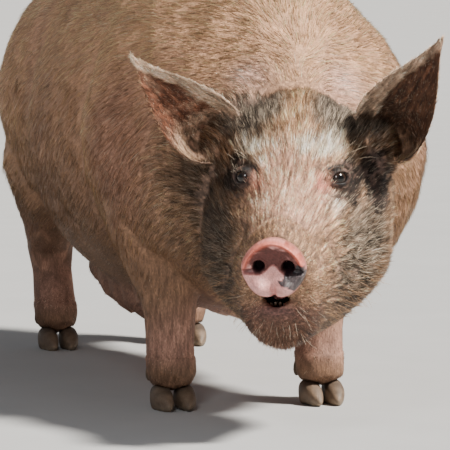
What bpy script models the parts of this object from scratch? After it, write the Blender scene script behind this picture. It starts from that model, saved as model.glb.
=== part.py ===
"""A domestic pig at life size: a heavy sow standing on all four feet, head lowered and turned to its right.

Metres, +Z up. The pig faces -Y and its right side is -X. The flesh is modelled whole from
lofted forms, remeshed into one hide, shaped by soft pushes and furrows, and parted into nodes
by thin cuts. The head has its own frame: the snout's centre at the origin, the nose towards -Y.
"""

import math

import bmesh
import bpy
import numpy as np
from mathutils import Matrix, Vector

# Driving dimensions of the animal
BACK_TOP = 0.812
BELLY_BOTTOM = 0.128
BARREL_HALF = 0.272
FORE_FOOT = (0.132, -0.020)
HIND_FOOT = (0.128, 0.868)
SNOUT_AT = Vector((-0.112, -0.574, 0.290))
HEAD_TURN = math.radians(-24.5)
HEAD_DIP = math.radians(11.5)
EYE = Vector((0.0730, 0.207, 0.0900))
EYE_FACES = Vector((0.53, -0.79, 0.31)).normalized()
EYEBALL_R = 0.0148
MUZZLE_X = -0.003
DISC_HALF_WIDTH = 0.052
DISC_UP = 0.049
DISC_DOWN = 0.048
DISC_THICK = 0.024
NOSTRIL = Vector((0.0235, 0.010, 0.003))
MOUTH_Z = -0.056
MOUTH_HALF_WIDTH = 0.0225
CLAW_APART = 0.041
CLAW_HALF_WIDTH = 0.0182
DEWCLAW_APART = 0.048
GLANDS_A_SIDE = 6
TAIL_LOCKS = 7

# Where the nodes part
HEAD_CUT = 0.350
NECK_CUT = -0.110
FORELEG_TOP = 0.265
HINDLEG_TOP = 0.335

# How the solids are made
GAP = 0.0003
HIDE_VOXEL = 0.0048
HIDE_ROUNDS = 45
HIDE_TRIANGLES = 3400
BODY_THINNING = 1.0
UDDER_THINNING = 0.72
HEAD_THINNING = 0.56
TAIL_VOXEL = 0.0016
TAIL_TRIANGLES = 640

HEAD = (
    Matrix.Translation(SNOUT_AT)
    @ Matrix.Rotation(HEAD_TURN, 4, "Z")
    @ Matrix.Rotation(HEAD_DIP, 4, "X")
)
HEAD_BACK = HEAD.inverted()

MATERIALS = {
    "hide": ((0.62, 0.40, 0.27), 0.75),
    "face": ((0.50, 0.37, 0.28), 0.75),
    "snout_pink": ((0.80, 0.42, 0.38), 0.45),
    "ear_skin": ((0.58, 0.34, 0.25), 0.70),
    "eye": ((0.05, 0.03, 0.02), 0.10),
    "claw": ((0.20, 0.15, 0.11), 0.50),
    "tongue_pink": ((0.62, 0.28, 0.27), 0.40),
    "tooth": ((0.80, 0.74, 0.60), 0.30),
}


def clear_scene():
    for obj in list(bpy.data.objects):
        bpy.data.objects.remove(obj)


def collection(name):
    made = bpy.data.collections.new(name)
    bpy.context.scene.collection.children.link(made)
    return made


def material(name):
    made = bpy.data.materials.get(name)
    if made is None:
        colour, roughness = MATERIALS[name]
        made = bpy.data.materials.new(name)
        made.use_nodes = True
        shader = made.node_tree.nodes["Principled BSDF"]
        shader.inputs["Base Color"].default_value = (*colour, 1)
        shader.inputs["Roughness"].default_value = roughness
        shader.inputs["Metallic"].default_value = 0
    return made


def object_of(bm, name, group):
    """Turns a bmesh into a named object of a collection, in triangles that point out. Grown and
    plain copies of one form get the same diagonals, so the gap between them stays even."""
    mesh = bpy.data.meshes.new(name)
    bmesh.ops.triangulate(bm, faces=bm.faces, quad_method="FIXED")
    bmesh.ops.recalc_face_normals(bm, faces=bm.faces)
    if bm.calc_volume(signed=True) < 0:
        bmesh.ops.reverse_faces(bm, faces=bm.faces)
    bm.to_mesh(mesh)
    bm.free()
    obj = bpy.data.objects.new(name, mesh)
    group.objects.link(obj)
    return obj


def applied(obj):
    """Gives the object the mesh that its modifiers make."""
    bpy.context.view_layer.update()
    graph = bpy.context.evaluated_depsgraph_get()
    mesh = bpy.data.meshes.new_from_object(obj.evaluated_get(graph))
    obj.modifiers.clear()
    obj.data = mesh
    return obj


def copy_of(obj, name, group, grow=0.0):
    """A copy, grown along its normals by grow."""
    made = bpy.data.objects.new(name, obj.data.copy())
    group.objects.link(made)
    if grow:
        bm = bmesh.new()
        bm.from_mesh(made.data)
        bm.normal_update()
        moves = [(v, v.normal * (grow * v.calc_shell_factor())) for v in bm.verts]
        for vert, move in moves:
            vert.co += move
        bm.to_mesh(made.data)
        bm.free()
    return made


def boolean(obj, others, operation):
    """Joins obj with the others, cuts them from it or keeps what it shares with them, and removes them."""
    for other in others:
        modifier = obj.modifiers.new("join", "BOOLEAN")
        modifier.operation = operation
        modifier.solver = "EXACT"
        modifier.object = other
        applied(obj)
        bpy.data.objects.remove(other)
    return obj


def keep_largest(obj):
    """Keeps the largest closed surface of a mesh."""
    bm = bmesh.new()
    bm.from_mesh(obj.data)
    bmesh.ops.remove_doubles(bm, verts=bm.verts, dist=2e-6)
    left = set(bm.verts)
    islands = []
    while left:
        island = {left.pop()}
        reached = list(island)
        while reached:
            vert = reached.pop()
            for edge in vert.link_edges:
                other = edge.other_vert(vert)
                if other in left:
                    left.remove(other)
                    island.add(other)
                    reached.append(other)
        islands.append(island)
    islands.sort(key=len)
    scraps = [v for island in islands[:-1] for v in island]
    bmesh.ops.delete(bm, geom=scraps, context="VERTS")
    bm.to_mesh(obj.data)
    bm.free()
    return obj


def through(rows, at):
    """A smooth curve through evenly spaced rows of numbers (Catmull-Rom), read at positions 0 to 1."""
    rows = np.array(rows, float)
    rows = np.vstack([2 * rows[0] - rows[1], rows, 2 * rows[-1] - rows[-2]])
    place = np.clip(np.asarray(at, float), 0, 1) * (len(rows) - 3)
    i = np.minimum(place.astype(int), len(rows) - 4)
    t = (place - i)[:, None]
    a, b, c, d = rows[i], rows[i + 1], rows[i + 2], rows[i + 3]
    return 0.5 * (2 * b + (c - a) * t + (2 * a - 5 * b + 4 * c - d) * t**2 + (3 * b - a - 3 * c + d) * t**3)


def sphere_grid(rings, around, blunt):
    """A UV sphere, and for each vertex its place along the axis, its angle around it and how far
    the form's ends are rounded there."""
    bm = bmesh.new()
    bmesh.ops.create_uvsphere(bm, u_segments=around, v_segments=rings, radius=1)
    points = np.array([v.co for v in bm.verts])
    latitude = np.arcsin(np.clip(points[:, 2], -1, 1)) / math.pi + 0.5
    along = (1 - np.cos(math.pi * latitude)) / 2
    rounding = np.maximum(1 - np.abs(2 * along - 1) ** (2 * blunt), 0) ** 0.5
    return bm, along, np.arctan2(points[:, 1], points[:, 0]), rounding


def set_points(bm, points):
    for vert, point in zip(bm.verts, points):
        vert.co = point


def swept(name, group, stations, side=(1, 0, 0), rings=36, around=40, blunt=2.0, place=None):
    """A closed form along a bent line. A station is (x, y, z, side, up, down, power): a point of the
    line, the section's half width, its reach to each side of the line, and 2 for an ellipse or more
    for a boxier section."""
    bm, along, angle, rounding = sphere_grid(rings, around, blunt)
    row = through(stations, along)
    ahead = through(stations, along + 0.01)[:, :3] - through(stations, along - 0.01)[:, :3]
    ahead /= np.linalg.norm(ahead, axis=1)[:, None]
    wide = np.array(side, float) - ahead * (ahead @ np.array(side, float))[:, None]
    wide /= np.linalg.norm(wide, axis=1)[:, None]
    tall = np.cross(wide, ahead)
    power = 2 / row[:, 6]
    across = np.sign(np.cos(angle)) * np.abs(np.cos(angle)) ** power * row[:, 3]
    reach = np.where(np.sin(angle) > 0, row[:, 4], row[:, 5])
    upright = np.sign(np.sin(angle)) * np.abs(np.sin(angle)) ** power * reach
    set_points(bm, row[:, :3] + (wide * across[:, None] + tall * upright[:, None]) * rounding[:, None])
    if place is not None:
        bmesh.ops.transform(bm, matrix=place, verts=bm.verts)
    return object_of(bm, name, group)


def lofted(name, group, rows, rings=48, around=56, blunt=3.0, place=None):
    """A closed form along Y. A row is (y, x, lean, top, bottom, five half widths from near the top
    to near the bottom); lean sets the section's bottom back from its top."""
    bm, along, angle, rounding = sphere_grid(rings, around, blunt)
    row = through(rows, along)
    down = np.abs(np.arctan2(np.cos(angle), np.sin(angle)))
    widths = np.hstack([row[:, 5:6], row[:, 5:10], row[:, 9:10]])
    place_down = down / math.pi * 6
    i = np.minimum(place_down.astype(int), 5)
    t = place_down - i
    t = t * t * (3 - 2 * t)
    n = np.arange(len(row))
    width = widths[n, i] * (1 - t) + widths[n, i + 1] * t
    middle = (row[:, 3] + row[:, 4]) / 2
    half = (row[:, 3] - row[:, 4]) / 2
    x = row[:, 1] + np.cos(angle) * width * rounding
    z = middle + half * np.sin(angle) * rounding
    y = row[:, 0] + row[:, 2] * (1 - np.sin(angle) * rounding) / 2
    set_points(bm, np.stack([x, y, z], axis=1))
    if place is not None:
        bmesh.ops.transform(bm, matrix=place, verts=bm.verts)
    return object_of(bm, name, group)


def ellipsoid(name, group, at, radii, turn=None, place=None, rings=20, around=28):
    bm = bmesh.new()
    bmesh.ops.create_uvsphere(bm, u_segments=around, v_segments=rings, radius=1)
    shape = Matrix.Translation(at) @ (turn or Matrix()) @ Matrix.Diagonal((*radii, 1))
    bmesh.ops.transform(bm, matrix=(place or Matrix()) @ shape, verts=bm.verts)
    return object_of(bm, name, group)


def box(name, group, low, high, place=None):
    bm = bmesh.new()
    bmesh.ops.create_cube(bm, size=1)
    low, high = Vector(low), Vector(high)
    shape = Matrix.Translation((low + high) / 2) @ Matrix.Diagonal((*(high - low), 1))
    bmesh.ops.transform(bm, matrix=(place or Matrix()) @ shape, verts=bm.verts)
    return object_of(bm, name, group)


def turned(angle, axis):
    return Matrix.Rotation(math.radians(angle), 4, axis)


def facing(normal, up=(0, 0, 1)):
    """A turn that takes +Y to normal and keeps X level."""
    ahead = Vector(normal).normalized()
    level = ahead.cross(Vector(up)).normalized()
    return Matrix((level, ahead, level.cross(ahead))).transposed().to_4x4()


def sided(vector, hand):
    """The vector on the pig's left (hand 1) or mirrored to its right (hand -1)."""
    return Vector((hand * vector[0], vector[1], vector[2]))


def trunk_form(group):
    """The barrel of the body with the neck, from behind the ears to the rump."""
    half = BARREL_HALF
    rows = [
        (-0.36, -0.005, 0, 0.545, 0.235, 0.10, 0.12, 0.130, 0.12, 0.10),
        (-0.27, 0.018, 0, 0.610, 0.190, 0.14, 0.165, 0.180, 0.17, 0.14),
        (-0.18, 0.030, 0, 0.675, 0.165, 0.18, 0.215, 0.232, 0.225, 0.19),
        (-0.09, 0.030, 0, 0.735, 0.155, 0.21, 0.245, 0.262, 0.255, 0.21),
        (0.00, 0.022, 0, 0.778, 0.155, 0.23, 0.258, 0.274, 0.266, 0.21),
        (0.10, 0.010, 0, 0.798, 0.152, 0.235, 0.262, 0.274, 0.270, 0.22),
        (0.21, 0.004, 0, 0.806, 0.142, 0.24, 0.262, 0.270, 0.272, 0.24),
        (0.33, 0.000, 0, BACK_TOP, BELLY_BOTTOM + 0.004, 0.24, 0.262, half, half, 0.25),
        (0.45, 0.000, 0, BACK_TOP, BELLY_BOTTOM, 0.24, 0.262, half, half, 0.25),
        (0.57, 0.000, 0, BACK_TOP, BELLY_BOTTOM + 0.010, 0.24, 0.260, 0.266, 0.262, 0.24),
        (0.68, 0.000, 0, 0.806, 0.165, 0.23, 0.252, 0.254, 0.244, 0.21),
        (0.79, 0.000, 0, 0.792, 0.205, 0.22, 0.246, 0.252, 0.240, 0.19),
        (0.89, 0.000, 0, 0.766, 0.235, 0.20, 0.228, 0.236, 0.228, 0.19),
        (0.98, 0.000, 0, 0.716, 0.275, 0.16, 0.185, 0.196, 0.195, 0.17),
        (1.05, 0.000, 0, 0.640, 0.330, 0.10, 0.120, 0.130, 0.13, 0.12),
    ]
    return lofted("trunk", group, rows, rings=64, around=64, blunt=4.0)


def udder_forms(group):
    forms = []
    for hand in (-1, 1):
        for i in range(GLANDS_A_SIDE):
            share = i / (GLANDS_A_SIDE - 1)
            y = 0.20 + 0.47 * share
            low = BELLY_BOTTOM + 0.034 + 0.075 * max(share - 0.72, 0) + 0.05 * max(0.25 - share, 0)
            swell = 0.046 + 0.007 * math.sin(math.pi * share)
            at = (hand * 0.070, y, low)
            forms.append(ellipsoid("gland", group, at, (swell, 0.063, swell)))
            teat = (hand * 0.078, y, low - swell - 0.001)
            forms.append(ellipsoid("teat", group, teat, (0.0075, 0.0075, 0.0105)))
    return forms


def head_form(group):
    """The skull, muzzle, jaw and cheeks in one form."""
    rows = [
        (0.405, 0, 0, 0.175, -0.120, 0.110, 0.135, 0.145, 0.140, 0.110),
        (0.345, 0, 0, 0.204, -0.146, 0.122, 0.146, 0.152, 0.154, 0.125),
        (0.290, 0, 0, 0.196, -0.162, 0.118, 0.140, 0.150, 0.165, 0.146),
        (0.240, 0, 0, 0.156, -0.166, 0.112, 0.132, 0.143, 0.163, 0.148),
        (0.190, 0, 0, 0.116, -0.165, 0.100, 0.118, 0.125, 0.143, 0.140),
        (0.140, 0, 0, 0.088, -0.158, 0.078, 0.090, 0.098, 0.112, 0.118),
        (0.090, 0, 0.002, 0.070, -0.149, 0.062, 0.074, 0.076, 0.084, 0.098),
        (0.048, 0, 0.008, 0.061, -0.141, 0.056, 0.068, 0.066, 0.068, 0.082),
        (0.008, 0, 0.022, 0.052, -0.122, 0.048, 0.057, 0.056, 0.054, 0.062),
    ]
    return lofted("skull", group, rows, rings=64, around=60, blunt=9.0, place=HEAD)


def leg_stations():
    """The lines of the left fore and hind leg, from the body down to the coronets of the claws."""
    fx, fy = FORE_FOOT
    hx, hy = HIND_FOOT
    fore = [
        (fx + 0.022, fy + 0.040, 0.420, 0.092, 0.120, 0.110, 2.0),
        (fx + 0.018, fy + 0.045, 0.330, 0.080, 0.100, 0.092, 2.0),
        (fx + 0.010, fy + 0.038, 0.255, 0.066, 0.070, 0.070, 2.0),
        (fx + 0.002, fy + 0.020, 0.200, 0.052, 0.053, 0.052, 2.1),
        (fx, fy + 0.014, 0.150, 0.045, 0.045, 0.047, 2.1),
        (fx, fy + 0.012, 0.105, 0.044, 0.047, 0.045, 2.1),
        (fx, fy + 0.004, 0.066, 0.044, 0.046, 0.044, 2.2),
        (fx, fy - 0.006, 0.030, 0.041, 0.038, 0.041, 2.3),
    ]
    hind = [
        (hx + 0.012, hy - 0.065, 0.440, 0.105, 0.140, 0.120, 2.0),
        (hx + 0.014, hy - 0.035, 0.345, 0.088, 0.112, 0.102, 2.0),
        (hx + 0.010, hy + 0.008, 0.262, 0.062, 0.070, 0.070, 2.0),
        (hx + 0.004, hy + 0.045, 0.205, 0.047, 0.052, 0.052, 2.1),
        (hx, hy + 0.044, 0.152, 0.041, 0.042, 0.044, 2.1),
        (hx, hy + 0.028, 0.105, 0.042, 0.045, 0.044, 2.1),
        (hx, hy + 0.010, 0.066, 0.043, 0.045, 0.043, 2.2),
        (hx, hy - 0.006, 0.030, 0.040, 0.038, 0.041, 2.3),
    ]
    return {"fore": fore, "hind": hind}


def mirrored(stations, hand):
    return [(hand * s[0], *s[1:]) for s in stations]


def leg_forms(group):
    return [
        swept("leg", group, mirrored(line, hand), rings=40, around=32, blunt=6.0)
        for line in leg_stations().values()
        for hand in (-1, 1)
    ]


def one_skin(forms, name, group, voxel):
    """Joins overlapping closed forms into one closed mesh of even squares."""
    bm = bmesh.new()
    for form in forms:
        bm.from_mesh(form.data)
        bpy.data.objects.remove(form)
    made = bpy.data.objects.new(name, bpy.data.meshes.new(name))
    bm.to_mesh(made.data)
    bm.free()
    group.objects.link(made)
    remesh = made.modifiers.new("one_skin", "REMESH")
    remesh.mode = "VOXEL"
    remesh.voxel_size = voxel
    return applied(made)


def whole_hide(group):
    """Every form of flesh joined, remeshed as one skin, shaped, and thinned to few triangles."""
    forms = [trunk_form(group), head_form(group)] + leg_forms(group) + udder_forms(group)
    forms.append(ellipsoid("ear_root", group, (0.120, 0.325, 0.102), (0.046, 0.040, 0.048), None, HEAD))
    hide = one_skin(forms, "hide", group, HIDE_VOXEL)
    soften(hide, HIDE_ROUNDS, softness)
    shape_hide(hide)
    soften(hide, 4, lambda points: np.full(len(points), 0.5))
    return hide


def points_of(mesh):
    points = np.empty(len(mesh.vertices) * 3, dtype=np.float32)
    mesh.vertices.foreach_get("co", points)
    return points.reshape(-1, 3).astype(float)


def normals_of(mesh):
    normals = np.empty(len(mesh.vertices) * 3, dtype=np.float32)
    mesh.vertex_normals.foreach_get("vector", normals)
    return normals.reshape(-1, 3).astype(float)


def moved_by(points, matrix):
    turn = np.array(matrix.to_3x3())
    return points @ turn.T + np.array(matrix.translation)


def ramp(values, low, high):
    share = np.clip((values - low) / (high - low), 0, 1)
    return share * share * (3 - 2 * share)


def softness(points):
    """How far the creases between forms are smoothed: fully on the trunk, less on legs, udder and face."""
    depth = moved_by(points, HEAD_BACK)[:, 1]
    leg = ramp(points[:, 2], 0.16, 0.34)
    head = ramp(depth, 0.10, 0.36)
    return np.minimum(0.18 + 0.82 * leg, 0.22 + 0.78 * head)


def soften(obj, rounds, weights_at):
    """Smooths a mesh for some rounds, each point as far as weights_at says."""
    group = obj.vertex_groups.new(name="soft")
    weights = np.round(weights_at(points_of(obj.data)), 2)
    for level in np.unique(weights):
        group.add(np.nonzero(weights == level)[0].tolist(), float(level), "REPLACE")
    smooth = obj.modifiers.new("soften", "SMOOTH")
    smooth.factor = 0.5
    smooth.iterations = rounds
    smooth.vertex_group = "soft"
    applied(obj)
    obj.vertex_groups.clear()


def dab(points, at, reach, push):
    """Pushes the points near a place; the push fades with distance, by reach along each axis."""
    away = (points - np.array(at)) / np.array(reach)
    return points + np.exp(-np.sum(away**2, axis=1))[:, None] * np.array(push)


def furrow(points, normals, line, depth, width):
    """Sinks a soft groove along a line, or raises a ridge where depth is negative."""
    nearest = np.full(len(points), np.inf)
    for start, end in zip(line[:-1], line[1:]):
        start, end = np.array(start, float), np.array(end, float)
        run = end - start
        t = np.clip((points - start) @ run / (run @ run), 0, 1)
        nearest = np.minimum(nearest, np.linalg.norm(points - start - t[:, None] * run, axis=1))
    return points - normals * (depth * np.exp(-((nearest / width) ** 2)))[:, None]


def shape_hide(hide):
    """Shoulders, hams, folds and creases of the body, then the forms of the face."""
    points = points_of(hide.data)
    normals = normals_of(hide.data)
    for hand in (-1, 1):
        points = dab(points, (hand * 0.26, 0.00, 0.40), (0.12, 0.11, 0.17), (hand * 0.014, -0.004, 0))
        points = dab(points, (hand * 0.24, 0.82, 0.43), (0.12, 0.13, 0.18), (hand * 0.012, 0, 0))
        points = dab(points, (hand * 0.20, -0.16, 0.56), (0.10, 0.08, 0.10), (hand * 0.006, 0, 0.004))
        points = dab(points, (hand * 0.27, 0.28, 0.36), (0.10, 0.14, 0.13), (hand * 0.007, 0, 0))
        elbow = [(0.28, 0.12, 0.60), (0.275, 0.13, 0.46), (0.24, 0.14, 0.33), (0.17, 0.12, 0.21)]
        flank = [(0.26, 0.54, 0.62), (0.268, 0.56, 0.50), (0.25, 0.60, 0.38), (0.17, 0.66, 0.24)]
        thigh = [(0.10, 1.01, 0.36), (0.06, 0.95, 0.30), (0.03, 0.90, 0.26)]
        points = furrow(points, normals, [sided(p, hand) for p in elbow], 0.014, 0.045)
        points = furrow(points, normals, [sided(p, hand) for p in flank], 0.016, 0.060)
        points = furrow(points, normals, [sided(p, hand) for p in thigh], 0.010, 0.030)
    cleft = [(0, 1.06, 0.58), (0, 1.07, 0.46), (0, 1.02, 0.34), (0, 0.93, 0.25)]
    points = furrow(points, normals, cleft, 0.026, 0.030)
    points = dab(points, (0, 1.055, 0.505), (0.020, 0.05, 0.032), (0, 0.034, -0.008))
    points = moved_by(points, HEAD_BACK)
    normals = normals @ np.array(HEAD_BACK.to_3x3()).T
    for hand in (-1, 1):
        points = dab(points, (hand * 0.120, 0.245, -0.03), (0.06, 0.07, 0.08), (hand * 0.010, 0, 0))
        brow = (hand * 0.072, 0.215, 0.124)
        points = dab(points, brow, (0.034, 0.030, 0.022), (hand * 0.005, -0.006, 0.009))
        points = dab(points, (hand * 0.090, 0.170, 0.062), (0.030, 0.034, 0.024), (hand * -0.006, 0, 0))
        points = dab(points, (hand * 0.115, 0.312, 0.175), (0.036, 0.036, 0.040), (hand * 0.022, 0, 0.014))
        temple = [(0.115, 0.235, 0.10), (0.135, 0.262, 0.075)]
        points = furrow(points, normals, [sided(p, hand) for p in temple], 0.005, 0.016)
        cheek = [(0.078, 0.115, 0.020), (0.090, 0.130, -0.030), (0.088, 0.150, -0.070)]
        points = furrow(points, normals, [sided(p, hand) for p in cheek], 0.006, 0.016)
        for rise, height in ((0.013, -0.0035), (-0.013, -0.0045)):
            lip = [p + Vector((0, 0, rise)) for p in mouth_line(hand)]
            points = furrow(points, normals, lip, height, 0.008)
    for height, y in ((-0.005, 0.052), (0.005, 0.086)):
        collar = [
            (0.070 * math.cos(a), y, 0.066 * math.sin(a)) for a in np.linspace(-0.5, math.pi + 0.5, 15)
        ]
        points = furrow(points, normals, collar, height, 0.012)
    points = dab(points, (0, 0.205, 0.118), (0.035, 0.03, 0.03), (0, 0.004, -0.006))
    points = dab(points, (0.145, 0.210, -0.010), (0.06, 0.10, 0.10), (-0.015, 0, 0))
    points = dab(points, (0.105, 0.140, -0.105), (0.06, 0.09, 0.06), (-0.011, 0, 0.002))
    points = dab(points, (0, 0.050, -0.140), (0.040, 0.04, 0.030), (0, -0.006, -0.006))
    points = moved_by(points, HEAD)
    hide.data.vertices.foreach_set("co", points.astype(np.float32).ravel())
    hide.data.update()


def mouth_line(hand):
    """The line of the mouth on one side, from the front back to its corner, in the head's frame."""
    line = [(0, 0.024), (0.011, 0.025), (0.021, 0.027), (0.034, 0.032)]
    line += [(0.052, 0.050), (0.067, 0.084), (0.076, 0.112)]
    return [Vector((MUZZLE_X + hand * x, y, MOUTH_Z - 0.04 * x)) for x, y in line]


def thinned(hide, count):
    """Collapses edges until count triangles are left, fewest of them taken from the head."""
    points = points_of(hide.data)
    depth = moved_by(points, HEAD_BACK)[:, 1]
    height = points[:, 2]
    weights = HEAD_THINNING + (BODY_THINNING - HEAD_THINNING) * ramp(depth, 0.28, 0.40)
    weights = np.minimum(weights, UDDER_THINNING + (1 - UDDER_THINNING) * ramp(height, 0.20, 0.30))
    weights = np.round(weights, 2)
    body = hide.vertex_groups.new(name="body")
    for level in np.unique(weights):
        body.add(np.nonzero(weights == level)[0].tolist(), float(level), "REPLACE")
    triangles = sum(len(p.vertices) - 2 for p in hide.data.polygons)
    thin = hide.modifiers.new("thin", "DECIMATE")
    thin.ratio = count / triangles
    thin.vertex_group = "body"
    applied(hide)
    hide.vertex_groups.clear()
    return hide


def mesh_with(obj, name, data_material):
    """Names an object, gives it one material and smooth faces."""
    obj.name = name
    obj.data.name = name
    obj.data.materials.clear()
    obj.data.materials.append(material(data_material))
    for polygon in obj.data.polygons:
        polygon.use_smooth = True
        polygon.material_index = 0
    return obj


def taken(whole, region, name, group):
    """Cuts the part of the whole inside a region away as an object of its own. The whole loses a
    little more, which leaves the gap between the two."""
    part = copy_of(whole, name, group)
    grown = copy_of(region, "grown", group, GAP)
    boolean(part, [region], "INTERSECT")
    boolean(whole, [grown], "DIFFERENCE")
    return keep_largest(part)


def leg_region(group, line, top):
    """The space around a leg below a level."""
    reach = 0.020
    wider = [(*s[:3], s[3] + reach, s[4] + reach, s[5] + reach, s[6]) for s in line]
    wider.append((*wider[-1][:2], -0.02, *wider[-1][3:]))
    space = swept("space", group, wider, rings=24, around=24, blunt=12.0)
    x, y = line[-1][:2]
    under = box("under", group, (x - 0.2, y - 0.25, -0.1), (x + 0.2, y + 0.25, top))
    return boolean(space, [under], "INTERSECT")


def outer_claws(group, x, y, grow):
    """The two claws that a foot stands on, with flat soles."""
    claws = []
    for side in (-1, 1):
        at = x + side * CLAW_APART / 2
        line = [
            (at, y + 0.032, 0.018, 0.0140, 0.028, 0.016, 2.3),
            (at, y + 0.010, 0.022, CLAW_HALF_WIDTH, 0.034, 0.023, 2.5),
            (at, y - 0.014, 0.020, CLAW_HALF_WIDTH, 0.028, 0.021, 2.5),
            (at - side * 0.002, y - 0.036, 0.013, 0.0140, 0.018, 0.014, 2.4),
            (at - side * 0.005, y - 0.054, 0.006, 0.0070, 0.008, 0.007, 2.2),
        ]
        line = [(*s[:3], s[3] + grow, s[4] + grow, s[5] + grow, s[6]) for s in line]
        claw = swept("claw", group, line, rings=7, around=10, blunt=2.2)
        floor = box("floor", group, (at - 0.1, y - 0.2, -0.1), (at + 0.1, y + 0.2, 0.0))
        claws.append(boolean(claw, [floor], "DIFFERENCE"))
    return claws


def dew_claws(group, x, y, grow):
    """The two small claws behind a foot, clear of the ground."""
    claws = []
    for side in (-1, 1):
        at = x + side * DEWCLAW_APART / 2
        line = [
            (at, y + 0.034, 0.082, 0.0090, 0.008, 0.009, 2.0),
            (at, y + 0.046, 0.068, 0.0105, 0.009, 0.010, 2.0),
            (at + side * 0.002, y + 0.053, 0.053, 0.0090, 0.008, 0.008, 2.0),
            (at + side * 0.003, y + 0.056, 0.041, 0.0050, 0.005, 0.005, 2.0),
        ]
        line = [(*s[:3], s[3] + grow, s[4] + grow, s[5] + grow, s[6]) for s in line]
        claws.append(swept("claw", group, line, rings=6, around=7, blunt=2.0))
    return claws


def feet(group, leg, prefix, x, y):
    """Cuts the claws' places from a leg and names the claws."""
    boolean(leg, outer_claws(group, x, y, GAP) + dew_claws(group, x, y, GAP), "DIFFERENCE")
    keep_largest(leg)
    sides = ("inner", "outer") if x > 0 else ("outer", "inner")
    for claw, side in zip(outer_claws(group, x, y, 0.0), sides):
        mesh_with(claw, f"{prefix}_claw_{side}", "claw")
    for claw, side in zip(dew_claws(group, x, y, 0.0), sides):
        mesh_with(claw, f"{prefix}_dewclaw_{side}", "claw")


def disc_solid(group, grow):
    """The flat end of the snout: a raised rim around a dished face, notched below, with nostrils."""
    profile = [
        (0.00, 0.0055),
        (0.30, 0.0050),
        (0.58, 0.0030),
        (0.80, -0.0020),
        (0.95, 0.0005),
        (1.00, 0.0070),
        (0.98, 0.0140),
        (0.90, DISC_THICK - 0.004),
        (0.50, DISC_THICK),
        (0.00, DISC_THICK),
    ]
    bm = bmesh.new()
    bmesh.ops.create_uvsphere(bm, u_segments=22, v_segments=12, radius=1)
    points = np.array([v.co for v in bm.verts])
    down_axis = np.arccos(np.clip(points[:, 2], -1, 1)) / math.pi
    angle = np.arctan2(points[:, 1], points[:, 0])
    row = through(profile, down_axis)
    share = row[:, 0].clip(0)
    up = np.where(np.sin(angle) > 0, DISC_UP, DISC_DOWN)
    below = np.exp(-((np.mod(angle - 1.5 * math.pi + math.pi, 2 * math.pi) - math.pi) ** 2) / 0.04)
    notch = 1 - 0.17 * below
    rounder = 1 - np.where(np.sin(angle) > 0, 0.06, -0.03) * np.sin(2 * angle) ** 2
    x = np.cos(angle) * (DISC_HALF_WIDTH + grow) * share * notch * rounder
    z = np.sin(angle) * (up + grow) * share * notch * rounder
    x *= 1 - 0.22 * (z / DISC_DOWN) ** 2 * (z < 0)
    front = down_axis < 0.5
    lip = np.exp(-(((share - 0.90) / 0.10) ** 2)) * front * (0.004 + 0.004 * np.sin(angle).clip(0))
    y = row[:, 1] - lip + np.where(down_axis > 0.5, grow, -grow) + 0.006 * (z < 0) * (z / DISC_DOWN) ** 2
    set_points(bm, np.stack([x + MUZZLE_X, y, z], axis=1))
    bmesh.ops.remove_doubles(bm, verts=bm.verts, dist=1e-5)
    bmesh.ops.transform(bm, matrix=HEAD, verts=bm.verts)
    return object_of(bm, "disc", group)


def nostril_cutters(group, reach):
    cutters = []
    for hand in (-1, 1):
        slant = turned(hand * -10, "Z") @ turned(hand * 14, "Y")
        at = sided(NOSTRIL, hand) + Vector((MUZZLE_X, 0, 0))
        cutters.append(
            ellipsoid("nostril", group, at, (0.0088, reach, 0.0102), slant, place=HEAD, rings=10, around=10)
        )
    return cutters


def mouth_cutters(group):
    """The slot between the lips and the hollow behind it."""
    line = [p for p in reversed(mouth_line(-1))] + mouth_line(1)[1:]
    stations = []
    for point in line:
        half = 0.0088 * max(1 - ((point.x - MUZZLE_X) / MOUTH_HALF_WIDTH) ** 2, 0) ** 0.5 + 0.0008
        stations.append((*point, 0.014, half, half * 1.05, 2.0))
    slot = swept("slot", group, stations, side=(0, 1, 0.05), rings=26, around=10, blunt=6.0, place=HEAD)
    at = (MUZZLE_X, 0.060, MOUTH_Z - 0.002)
    hollow = ellipsoid("hollow", group, at, (0.0235, 0.040, 0.0135), place=HEAD)
    return [slot, hollow]


def eye_forms(group, hand):
    """The bulge of the lids, and the cutter of the almond opening between them."""
    at = sided(EYE, hand)
    turn = facing(sided(EYE_FACES, hand))
    tilt = turned(hand * 10, "Y")
    lids = ellipsoid("lids", group, at, (0.0260, 0.0200, 0.0185), turn @ tilt, HEAD, 14, 24)
    front = at + sided(EYE_FACES, hand) * 0.0195
    almond = ellipsoid("almond", group, front, (0.0182, 0.0135, 0.0096), turn @ tilt, HEAD, 10, 18)
    return lids, almond


def eyeball(group, hand, grow):
    at = sided(EYE, hand)
    radius = EYEBALL_R + grow
    return ellipsoid("eye", group, at, (radius, radius, radius), None, HEAD, 10, 16)


def finish_head(group, head):
    """Lids, nostrils, mouth and the seats of the snout and the eyes."""
    for hand in (-1, 1):
        lids, almond = eye_forms(group, hand)
        boolean(head, [lids], "UNION")
        boolean(head, [almond, eyeball(group, hand, GAP)], "DIFFERENCE")
    boolean(head, [disc_solid(group, GAP)] + nostril_cutters(group, 0.046), "DIFFERENCE")
    boolean(head, mouth_cutters(group), "DIFFERENCE")
    return keep_largest(head)


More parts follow.
